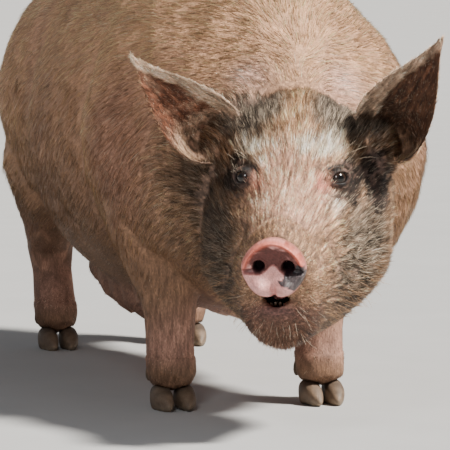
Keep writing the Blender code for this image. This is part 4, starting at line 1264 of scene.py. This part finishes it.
def long_hairs(surface):
    """Whiskers of chin and lips, brow bristles and the tail's tassel."""
    middle = surface.middle
    local = in_head(middle)
    grows = 1 - bareness(middle)
    made = []
    chin = spot(local, (0, 0.035, -0.105), (0.055, 0.050, 0.050))
    chin += 0.5 * spot(local, (0, 0.045, -0.035), (0.075, 0.03, 0.05))
    brows = sum(spot(local, (hand * 0.085, 0.222, 0.118), (0.026, 0.022, 0.016)) for hand in (-1, 1))
    jowls = sum(spot(local, (hand * 0.105, 0.160, -0.105), (0.040, 0.090, 0.050)) for hand in (-1, 1))
    sets = (
        ("whiskers", chin * grows, 46, (0.010, 0.024), 0.00017, (0.35, 0.9), WHITE_HAIR, 31),
        ("brow_bristles", brows * grows, 22, (0.026, 0.052), 0.00018, (0.35, 0.9), WHITE_HAIR, 32),
        ("jowl_bristles", jowls * grows, 170, (0.018, 0.034), 0.00024, (0.25, 0.6), GINGER, 33),
    )
    for name, density, count, lengths, width, lifts, tone, seed in sets:
        rng = np.random.default_rng(seed)
        points, normals, ear = surface.draw(count, density, seed)
        lies = lie_of(points, normals, ear) + rng.normal(0, 0.30, points.shape)
        lies = laid(lies, normals)
        bends = rng.normal(0, 0.12, points.shape) + np.array([0, 0, -0.22])
        tones = np.array(tone) * rng.uniform(0.75, 1.1, (count, 1))
        places = unwrapped(points, ear)
        made.append(
            strands(
                name, points, normals, lies, rng.uniform(*lengths, count), np.full(count, width),
                rng.uniform(*lifts, count), tones, places, rings=5, bends=bends,
            )
        )
    made.append(tassel())
    return made


def tassel():
    """Long hair on the last third of the tail."""
    rng = np.random.default_rng(41)
    count = TASSEL_HAIRS
    share = rng.uniform(0.55, 1.0, count) ** 0.7
    row, ahead, wide, tall = along_tail(share, 0.02)
    angle = rng.uniform(0, 2 * math.pi, count)
    out = wide * np.cos(angle)[:, None] + tall * np.sin(angle)[:, None]
    roots = row[:, :3] + out * (row[:, 3] * 0.7)[:, None] + np.array(SHIFT)
    lies = unit(ahead + np.array([0, 0, -0.8]) + rng.normal(0, 0.10, (count, 3)))
    lies = laid(lies, out)
    lengths = rng.uniform(0.035, 0.060, count) * (0.5 + 0.5 * share)
    tones = np.array(GINGER_DEEP) * rng.uniform(0.55, 1.3, (count, 1))
    turn = np.stack([0.965 + 0.02 * angle / (2 * math.pi), 0.02 + 0.15 * share], axis=1)
    bends = rng.normal(0, 0.05, (count, 3)) + np.array([0, 0, -0.15])
    return strands(
        "tail_tassel", roots, out, lies, lengths, np.full(count, 0.0007), np.full(count, 0.12), tones, turn,
        rings=3, bends=bends,
    )


# Eyes and lids


def eye_axes(hand):
    """The eye's own axes in the world: outward along the head, up and forward."""
    forward = sided(EYE_FACES, hand)
    across = Vector((0, 0, 1)).cross(forward) * -hand
    across = (across - forward * across.dot(forward)).normalized()
    up = forward.cross(across) * (1 if hand > 0 else -1)
    if up.z < 0:
        up = -up
    turn = Matrix.Rotation(math.radians(-6 * hand), 3, forward)
    across, up = turn @ across, turn @ up
    rotate = HEAD.to_3x3()
    return [np.array(rotate @ v) for v in (across, up, forward)]


def eye_at(hand):
    return np.array(HEAD @ sided(EYE, hand))


def eyeball(hand, name):
    """Cornea, iris, pupil and the rim of white of one eye."""
    across, up, forward = eye_axes(hand)
    bm, points = ball(96, 64)
    tilt = np.degrees(np.arccos(np.clip(points[:, 2], -1, 1)))
    cornea = 1 + 0.045 * bell(tilt, 0, 34)
    at = eye_at(hand)
    world = points[:, :1] * across + points[:, 1:2] * up + points[:, 2:] * forward
    world *= (EYEBALL_R * 0.985 * cornea)[:, None]
    angle = np.arctan2(points[:, 1], points[:, 0])
    fibre = 0.5 + 0.5 * np.sin(angle * 47 + 2.0 * np.sin(angle * 9)) * np.sin(tilt * 0.6)
    iris = np.array(IRIS) * (0.6 + 0.9 * fibre * ramp(tilt, 14, 30))[:, None]
    colour = iris
    colour = blend(colour, PUPIL, fall(tilt, 15, 19))
    colour = blend(colour, IRIS_RIM, ramp(tilt, 36, 41))
    colour = blend(colour, EYE_WHITE, 0.75 * ramp(tilt, 46, 56))
    colour = blend(colour, EYE_BACK, ramp(tilt, 60, 78))
    set_bm(bm, world + at)
    obj = piece_of(bm, name)
    tinted(obj.data, colour)
    return obj


def lids(hand, name, tree):
    """The rims of both lids, rolled round the eyeball and run out under the skin's hair."""
    across, up, forward = eye_axes(hand)
    at = eye_at(hand)
    steps, around = 18, 96
    bm = bmesh.new()
    bmesh.ops.create_grid(bm, x_segments=steps, y_segments=around, size=1)
    grid = np.array([v.co for v in bm.verts])
    share = (grid[:, 0] + 1) / 2
    angle = (grid[:, 1] + 1) * math.pi
    cosine, sine = np.cos(angle), np.sin(angle)
    inner = cosine < 0
    half = np.where(inner, 0.0176, 0.0156)
    x = half * np.sign(cosine) * np.abs(cosine) ** 0.9
    z = np.where(sine > 0, 0.0102, 0.0082) * np.sign(sine) * np.abs(sine) ** 1.25 - 0.0012 * cosine
    z -= 0.0012 * np.where(inner, cosine**4, 0)
    outward = np.stack([cosine, sine * 0.9], axis=1)
    outward = outward / np.linalg.norm(outward, axis=1)[:, None]
    far = 0.0165 * share**1.15
    px, pz = x + outward[:, 0] * far, z + outward[:, 1] * far
    ball = EYEBALL_R + 0.0002 + 0.0026 * np.clip(share / 0.16, 0, 1) ** 0.6
    reach = np.hypot(px, pz)
    on_ball = np.sqrt(np.maximum(ball**2 - np.minimum(reach, ball * 0.985) ** 2, 0))
    on_ball -= np.maximum(reach - ball * 0.985, 0) * 0.35
    on_skin = on_ball.copy()
    for i in np.nonzero(share > 0.35)[0]:
        start = at + across * px[i] + up * pz[i] + forward * 0.05
        hit = tree.ray_cast(Vector(start), Vector(-forward), 0.09)
        if hit[0] is not None:
            on_skin[i] = 0.05 - hit[3]
    settle = ramp(share, 0.40, 0.92)
    height = on_ball * (1 - settle) + (on_skin - 0.0010 * ramp(share, 0.85, 1.0)) * settle
    fold = 0.0016 * bell(share, 0.50, 0.07) * ramp(sine, 0.0, 0.5)
    fold += 0.0011 * bell(share, 0.42, 0.06) * ramp(-sine, 0.1, 0.6)
    creases = np.sin(share * 60 + 3 * np.sin(angle * 2))
    fold += 0.0004 * creases * ramp(share, 0.2, 0.5) * fall(share, 0.7, 1.0)
    height = height - fold
    world = at + px[:, None] * across + pz[:, None] * up + height[:, None] * forward
    set_bm(bm, world)
    bmesh.ops.remove_doubles(bm, verts=bm.verts, dist=MERGE)
    obj = piece_of(bm, name)
    mesh = obj.data
    points = points_of(mesh)
    normals = normals_of(mesh)
    if np.mean(normals @ forward) < 0:
        mesh.flip_normals()
        normals = -normals
    tone = markings_and_painted_light(points, normals, np.zeros(len(points)))
    off = points - at
    px, pz = off @ across, off @ up
    rim = np.hypot(px / 0.0215, pz / 0.0140)
    tone = blend(tone, LID_EDGE, 0.97 * fall(rim, 1.35, 2.2))
    corner = spot(np.stack([px, pz, pz * 0], axis=1), (-0.0160, -0.0005, 0), (0.0035, 0.0028, 1))
    tone = blend(tone, EYE_CORNER, 0.85 * corner)
    tinted(mesh, tone)
    return obj


def lashes(hand, name):
    """Long pale lashes along the upper lid."""
    across, up, forward = eye_axes(hand)
    at = eye_at(hand)
    rng = np.random.default_rng(51 + hand)
    count = 22
    angle = rng.uniform(0.12, 0.92, count) * math.pi
    x = 0.0150 * np.cos(angle)
    z = 0.0085 * np.sin(angle)
    reach = np.hypot(x, z)
    high = np.sqrt(np.maximum((EYEBALL_R + 0.0022) ** 2 - reach**2, 1e-6))
    roots = at + x[:, None] * across + z[:, None] * up + high[:, None] * forward
    normals = unit(0.4 * up + 0.9 * forward + 0.5 * np.cos(angle)[:, None] * across)
    lies = unit(up + 0.9 * np.cos(angle)[:, None] * across + rng.normal(0, 0.10, (count, 3)))
    lies = laid(lies, normals)
    tones = np.array(WHITE_HAIR) * rng.uniform(0.25, 0.6, (count, 1))
    places = np.stack([0.3 + 0.1 * hand + x, 0.2 + z], axis=1)
    return strands(
        name, roots, normals, lies, rng.uniform(0.008, 0.014, count), np.full(count, 0.00016),
        rng.uniform(0.6, 1.2, count), tones, places, rings=4, bends=-0.45 * np.tile(up, (count, 1)),
    )


# The snout's disc


DISC_RADII = (
    0.0455, 0.0492, 0.0500, 0.0492, 0.0492, 0.0503, 0.0518, 0.0505, 0.0490, 0.0480, 0.0476, 0.0480, 0.0484,
)
# Places on the disc: outwards from its middle and up
NOSTRIL_AT = (0.0235, 0.0030)
NOSTRIL_LEAN = 0.45
NOSTRIL_DEPTH = 0.0205
SLIT_DEPTH = 0.0050


def snout_disc():
    """The bare end of the snout: a thick red upper rim, a dished dusky middle, comma-shaped nostrils
    whose slits run out to the edge, and the pale pad below with its two lobes."""
    bm, points = ball(176, 120)
    tilt = np.arccos(np.clip(points[:, 2], -1, 1)) / math.pi
    angle = np.arctan2(points[:, 1], points[:, 0])
    shares = (0.0, 0.16, 0.33, 0.50, 0.67, 0.83, 0.955, 1.0, 0.985, 0.95, 0.6, 0.0)
    share = np.clip(through([(s,) for s in shares], tilt)[:, 0], 0, 1.02)
    back = ramp(tilt, 0.60, 0.86)
    cosine, sine = np.cos(angle), np.sin(angle)
    level = np.arcsin(sine) / math.pi + 0.5
    radius = through([(r,) for r in DISC_RADII], level)[:, 0]
    x, z = cosine * radius * share, sine * radius * share
    flat = np.stack([x, z, 0 * x], axis=1)
    upper = ramp(z, -0.004, 0.012)
    rim = bell(share, 0.900, 0.092) * ramp(z, -0.006, 0.010)
    out = 0.0088 * rim - 0.0050 * ramp(share, 0.90, 1.0) ** 2 * (1 - back)
    out -= 0.0055 * spot(flat, (0, 0.015, 0), (0.032, 0.017, 1))
    shelf = -0.0068 + 0.0140 * bell(x, 0, 0.0115)
    pad = fall(z, shelf - 0.0016, shelf + 0.0018)
    out += 0.0056 * pad * (1 - 0.6 * ramp(share, 0.86, 1.0))
    for hand in (-1, 1):
        out += 0.0150 * spot(flat, (hand * 0.0200, -0.0270, 0), (0.0140, 0.0130, 1))
    middle = bell(x, 0, 0.0042) * ramp(-z, 0.014, 0.040)
    out -= 0.0080 * middle
    hole, groove = np.zeros(len(points)), np.zeros(len(points))
    for hand, wide in ((-1, 0.0100), (1, 0.0112)):
        dx, dz = hand * x - NOSTRIL_AT[0], z - NOSTRIL_AT[1]
        lean = dx * math.cos(NOSTRIL_LEAN) + dz * math.sin(NOSTRIL_LEAN)
        rise = -dx * math.sin(NOSTRIL_LEAN) + dz * math.cos(NOSTRIL_LEAN)
        comma = np.hypot(lean / wide, rise / 0.0112)
        slit = np.hypot((hand * x - 0.0370) / 0.0145, (z + 0.0035) / 0.0048)
        pit = np.maximum(fall(comma, 0.62, 1.06) * NOSTRIL_DEPTH, fall(slit, 0.45, 1.15) * SLIT_DEPTH)
        out -= pit * (1 - back)
        out += 0.0013 * bell(comma, 1.24, 0.18) * (1 - back) * upper
        hole = np.maximum(hole, fall(comma, 0.72, 1.16))
        groove = np.maximum(groove, fall(slit, 0.45, 1.20))
    out += 0.00030 * ripple(flat, 0.0035, 61) + 0.00045 * ripple(flat, 0.010, 62)
    y = -out * (1 - back) + back * 0.0235 + 0.006 * (z < 0) * (z / 0.048) ** 2
    y += 0.004 * ramp(share, 0.96, 1.0) * (1 - back)
    world = moved_by(np.stack([x + MUZZLE_X, y, z], axis=1), HEAD)
    set_bm(bm, world)
    obj = piece_of(bm, "snout_disc")

    rough = 0.30 * ripple(flat, 0.010, 63) + 0.22 * ripple(flat, 0.004, 64)
    colour = filled(points, PAD_PINK)
    dusky = patch(flat, (0, 0.014, 0), (0.046, 0.028, 1), rough, 0.35) * (1 - pad)
    colour = blend(colour, DISC_DUSKY, 0.92 * dusky)
    # the slits from the nostrils: partly their own purple, partly painted shade in the grooves
    colour = blend(colour, GROOVE_PURPLE, 0.80 * groove)
    colour = blend(colour, RIM_RED, np.clip(1.25 * rim, 0, 0.95))
    # the cleft between the lobes: partly its own red, partly painted shade in the groove
    colour = blend(colour, CLEFT_RED, 0.75 * middle)
    colour = blend(colour, EDGE_RED, 0.65 * ramp(share, 0.86, 1.0) * (1 - upper))
    shadowed = spot(flat, (0.0, -0.0065, 0), (0.008, 0.006, 1))
    colour = blend(colour, MIDDLE_PINK, 0.6 * shadowed)
    blotch = np.maximum(
        patch(flat, (0.0300, -0.0155, 0), (0.0190, 0.0115, 1), 0.8 * rough, 0.14),
        patch(flat, (0.0440, -0.0060, 0), (0.0100, 0.0150, 1), 0.6 * rough, 0.14),
    )
    # painted glints: pale specks standing for the shine of the wet black blotch
    glints = ramp(ripple(flat, 0.0022, 67), 0.25, 0.75)
    colour = blend(colour, BLOTCH, 0.97 * blotch)
    colour = blend(colour, BLOTCH_GLINT, 0.35 * blotch * glints)
    # painted shadow: the nostrils near black inside
    colour = blend(colour, NOSTRIL_SHADOW, hole)
    colour = blend(colour, DISC_BACK, back)
    wet = np.maximum(1 - 0.75 * dusky, 0.6 * blotch) * (1 - hole)
    grain = np.exp(0.13 * ripple(flat, 0.0026, 65) + 0.10 * ripple(flat, 0.0012, 66))
    tinted(obj.data, colour * grain[:, None], wet)
    return obj


# Teeth, tongue and claws

# Where each tooth stands from the middle, and its height
TEETH = [(-0.0105, 0.0050), (-0.0038, 0.0064), (0.0038, 0.0060), (0.0105, 0.0046)]
TOOTH_SIZE = (0.0052, 0.0040)


def rounded_block(bm, at, size, taper):
    """One tooth: a block narrowed to its edge and rounded."""
    for vert in bmesh.ops.create_cube(bm, size=1)["verts"]:
        narrow = 1 - taper * (vert.co.z + 0.5)
        x, y, z = vert.co
        vert.co = Vector(at) + Vector((x * size[0] * narrow, y * size[1] * narrow, z * size[2]))


def teeth():
    """The lower front teeth, standing a little apart."""
    bm = bmesh.new()
    floor = MOUTH_Z - 0.0155
    for x, high in TEETH:
        rounded_block(bm, (MUZZLE_X + x, 0.0415, floor + high / 2), (*TOOTH_SIZE, high), 0.25)
    bmesh.ops.transform(bm, matrix=HEAD, verts=bm.verts)
    obj = piece_of(bm, "front_teeth")
    bevel = obj.modifiers.new("edge", "BEVEL")
    bevel.width = 0.0010
    bevel.segments = 2
    smooth = obj.modifiers.new("round", "SUBSURF")
    smooth.levels = smooth.render_levels = 2
    applied(obj)
    local = in_head(points_of(obj.data))
    low = fall(local[:, 2], floor + 0.002, floor + 0.009)
    # the teeth a dim yellow, darkened as painted shade of the mouth, and darker still towards their roots
    tone = blend(filled(local, TOOTH), TOOTH_ROOT, low)
    tinted(obj.data, tone)
    return obj


def tongue():
    bm, points = ball(48, 32)
    made = points * np.array([0.0150, 0.0190, 0.0058]) + np.array([MUZZLE_X, 0.0745, MOUTH_Z - 0.0055])
    made[:, 2] -= 0.0022 * bell(points[:, 0], 0, 0.2) * (points[:, 2] > 0)
    made[:, 2] -= 0.003 * ramp(-points[:, 1], 0.3, 1.0)
    set_bm(bm, moved_by(made, HEAD))
    obj = piece_of(bm, "tongue_tip")
    tone = filled(points, TONGUE)
    tinted(obj.data, tone * (1 + 0.12 * ripple(made, 0.004, 71))[:, None])
    return obj


def claws(node):
    """A claw with its edges rounded, darker at the coronet and worn pale at the tip."""
    obj = piece_of(merged_copy(node), node + "_horn")
    smooth = obj.modifiers.new("round", "SUBSURF")
    smooth.levels = smooth.render_levels = 2
    smooth.use_limit_surface = False
    applied(obj)
    points = points_of(obj.data)
    low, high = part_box(node)
    points[:, 2] = np.maximum(points[:, 2], low[2])
    set_points(obj.data, points)
    rise = (points[:, 2] - low[2]) / (high[2] - low[2])
    front = (high[1] - points[:, 1]) / (high[1] - low[1])
    tone = filled(points, CLAW)
    tone = blend(tone, CORONET, 0.8 * ramp(rise + 0.2 * ripple(points, 0.02, 81), 0.45, 1.0))
    tone = blend(tone, CLAW_TIP, 0.6 * fall(rise, 0.0, 0.35) * ramp(front, 0.3, 0.9))
    tinted(obj.data, tone * (1 + 0.18 * ripple(points, 0.009, 82))[:, None])
    return obj


# The whole


def finished(obj, material, replaced=()):
    obj.data.materials.clear()
    obj.data.materials.append(material)
    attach(obj, "root")
    if replaced:
        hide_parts(*replaced)
    return obj


def dress():
    skin = shaped_skin()
    points, normals = points_of(skin.data), normals_of(skin.data)
    ear = ear_share(points)
    surface = Surface(skin, ear)
    tone = markings_and_painted_light(points, normals, ear)
    tone = blend(tone, PINK, 0.20 * (1 - 0.9 * salt(points)) * (1 - ear)) * streaky(points, ear)[:, None]
    local = in_head(points)
    high = ramp(in_pig(points)[:, 2], 0.20, 0.60)
    trunk = ramp(local[:, 1], 0.28, 0.46) * (1 - ear)
    tone = blend(tone, SKIN_PINK, 0.30 * trunk * high)
    # The skin darker than the coat, partly its own tone and partly painted shade between the hairs; on the
    # trunk lighter high up than low down, painted light from above
    tone = tone * (SKIN_SHADE + TRUNK_LIGHT * trunk * (0.3 + 0.7 * high))[:, None]
    # painted shadow: the inside of the mouth near black
    mouth_cavity = spot(local, (MUZZLE_X, 0.066, MOUTH_Z - 0.002), (0.036, 0.036, 0.014))
    inside = ramp(local[:, 1], 0.030, 0.048) * (mouth_cavity > 0.30)
    tone = blend(tone, MOUTH_SHADOW, inside)
    # painted shadow in the skin's seat behind the snout's disc
    behind_disc = (np.hypot(local[:, 0] - MUZZLE_X, local[:, 2]) < 0.041) & (local[:, 1] < 0.08)
    tone = blend(tone, MOUTH_SHADOW, behind_disc.astype(float))
    for hand in (-1, 1):
        socket = np.linalg.norm(local - np.array(sided(EYE, hand)), axis=1)
        tone = blend(tone, SOCKET_DARK, fall(socket, 0.017, 0.021))
    tinted(skin.data, tone)
    flow = skin.data.attributes.new("flow", "FLOAT_VECTOR", "POINT")
    flow.data.foreach_set("vector", flow_of(points, ear).astype(np.float32).ravel())
    finished(skin, hide_material("pig_skin"), FLESH + EARS + ["tail"])

    hair = hair_material("coat_hair")
    for piece in coat(surface):
        finished(piece, hair)
    bristle = hair_material("pale_bristle", 0.36)
    for piece in long_hairs(surface):
        finished(piece, bristle)

    tree = surface_tree(skin)
    lid_skin = lid_material("lid_skin")
    wet_eye = wet_material("eye_surface", 0.12, 900.0, 0.0, 0.00002, 0.05)
    for hand, side in ((-1, "right"), (1, "left")):
        finished(eyeball(hand, f"eyeball_{side}"), wet_eye, [f"eye_{side}"])
        finished(lids(hand, f"eyelids_{side}", tree), lid_skin)
        finished(lashes(hand, f"lashes_{side}"), bristle)
    finished(snout_disc(), wet_material("snout_skin", 0.38), ["snout"])
    finished(teeth(), wet_material("tooth_enamel", 0.28, 700.0, 0.5, 0.0003), ["teeth"])
    finished(tongue(), wet_material("tongue_flesh", 0.32), ["tongue"])
    horn = horn_material("claw_horn")
    for node in sorted(NODES):
        if "claw" in node:
            finished(claws(node), horn, [node])


def turned(obj, quaternion):
    obj.rotation_mode = "QUATERNION"
    obj.rotation_quaternion = quaternion
    return obj


def studio():
    """A pale floor, a high key light from the pig's left, a softbox before its head and an even sky."""
    bm = bmesh.new()
    bmesh.ops.create_grid(bm, x_segments=4, y_segments=4, size=FLOOR_REACH)
    floor = piece_of(bm, "floor")
    paint = Paint("floor_paint", 0.9, 0.2)
    paint.tint_times(paint.spread(paint.noise(6.0), 0.975, 1.025))
    tinted(floor.data, filled(floor.data.vertices, FLOOR_TONE))
    floor.data.materials.append(paint.material)
    world = bpy.data.worlds.new("studio")
    world.use_nodes = True
    back = world.node_tree.nodes["Background"]
    back.inputs["Color"].default_value = SKY_COLOUR
    back.inputs["Strength"].default_value = SKY_STRENGTH
    bpy.context.scene.world = world
    lamp = bpy.data.lights.new("key", "SUN")
    lamp.energy, lamp.angle, lamp.color = KEY_ENERGY, KEY_ANGLE, KEY_COLOUR
    turned(linked("key", lamp), KEY_FROM.to_track_quat("Z", "Y"))
    glow = bpy.data.lights.new("softbox", "AREA")
    glow.shape = "RECTANGLE"
    glow.size, glow.size_y = SOFTBOX_SIZE
    glow.energy = SOFTBOX_POWER
    box = turned(linked("softbox", glow), SOFTBOX_FROM.to_track_quat("Z", "Y"))
    box.visible_camera = False
    box.location = HEAD @ SOFTBOX_AT_HEAD + SOFTBOX_FROM


def camera():
    """The photo's view: a little down, from a little to the pig's right of straight ahead."""
    flat = math.cos(CAMERA_RISE)
    back = Vector((math.sin(CAMERA_TURN) * flat, -math.cos(CAMERA_TURN) * flat, math.sin(CAMERA_RISE)))
    right = Vector((math.cos(CAMERA_TURN), math.sin(CAMERA_TURN), 0))
    up = right.cross(-back)
    made = bpy.data.cameras.new("camera")
    made.lens, made.sensor_width = LENS, SENSOR
    obj = turned(linked("camera", made), Matrix((right, up, back)).transposed().to_quaternion())
    target = CAMERA_TARGET + SHIFT
    obj.location = target + back * CAMERA_AWAY - right * CAMERA_SLIDE[0] - up * CAMERA_SLIDE[1]
    bpy.context.scene.camera = obj


dress()
studio()
camera()
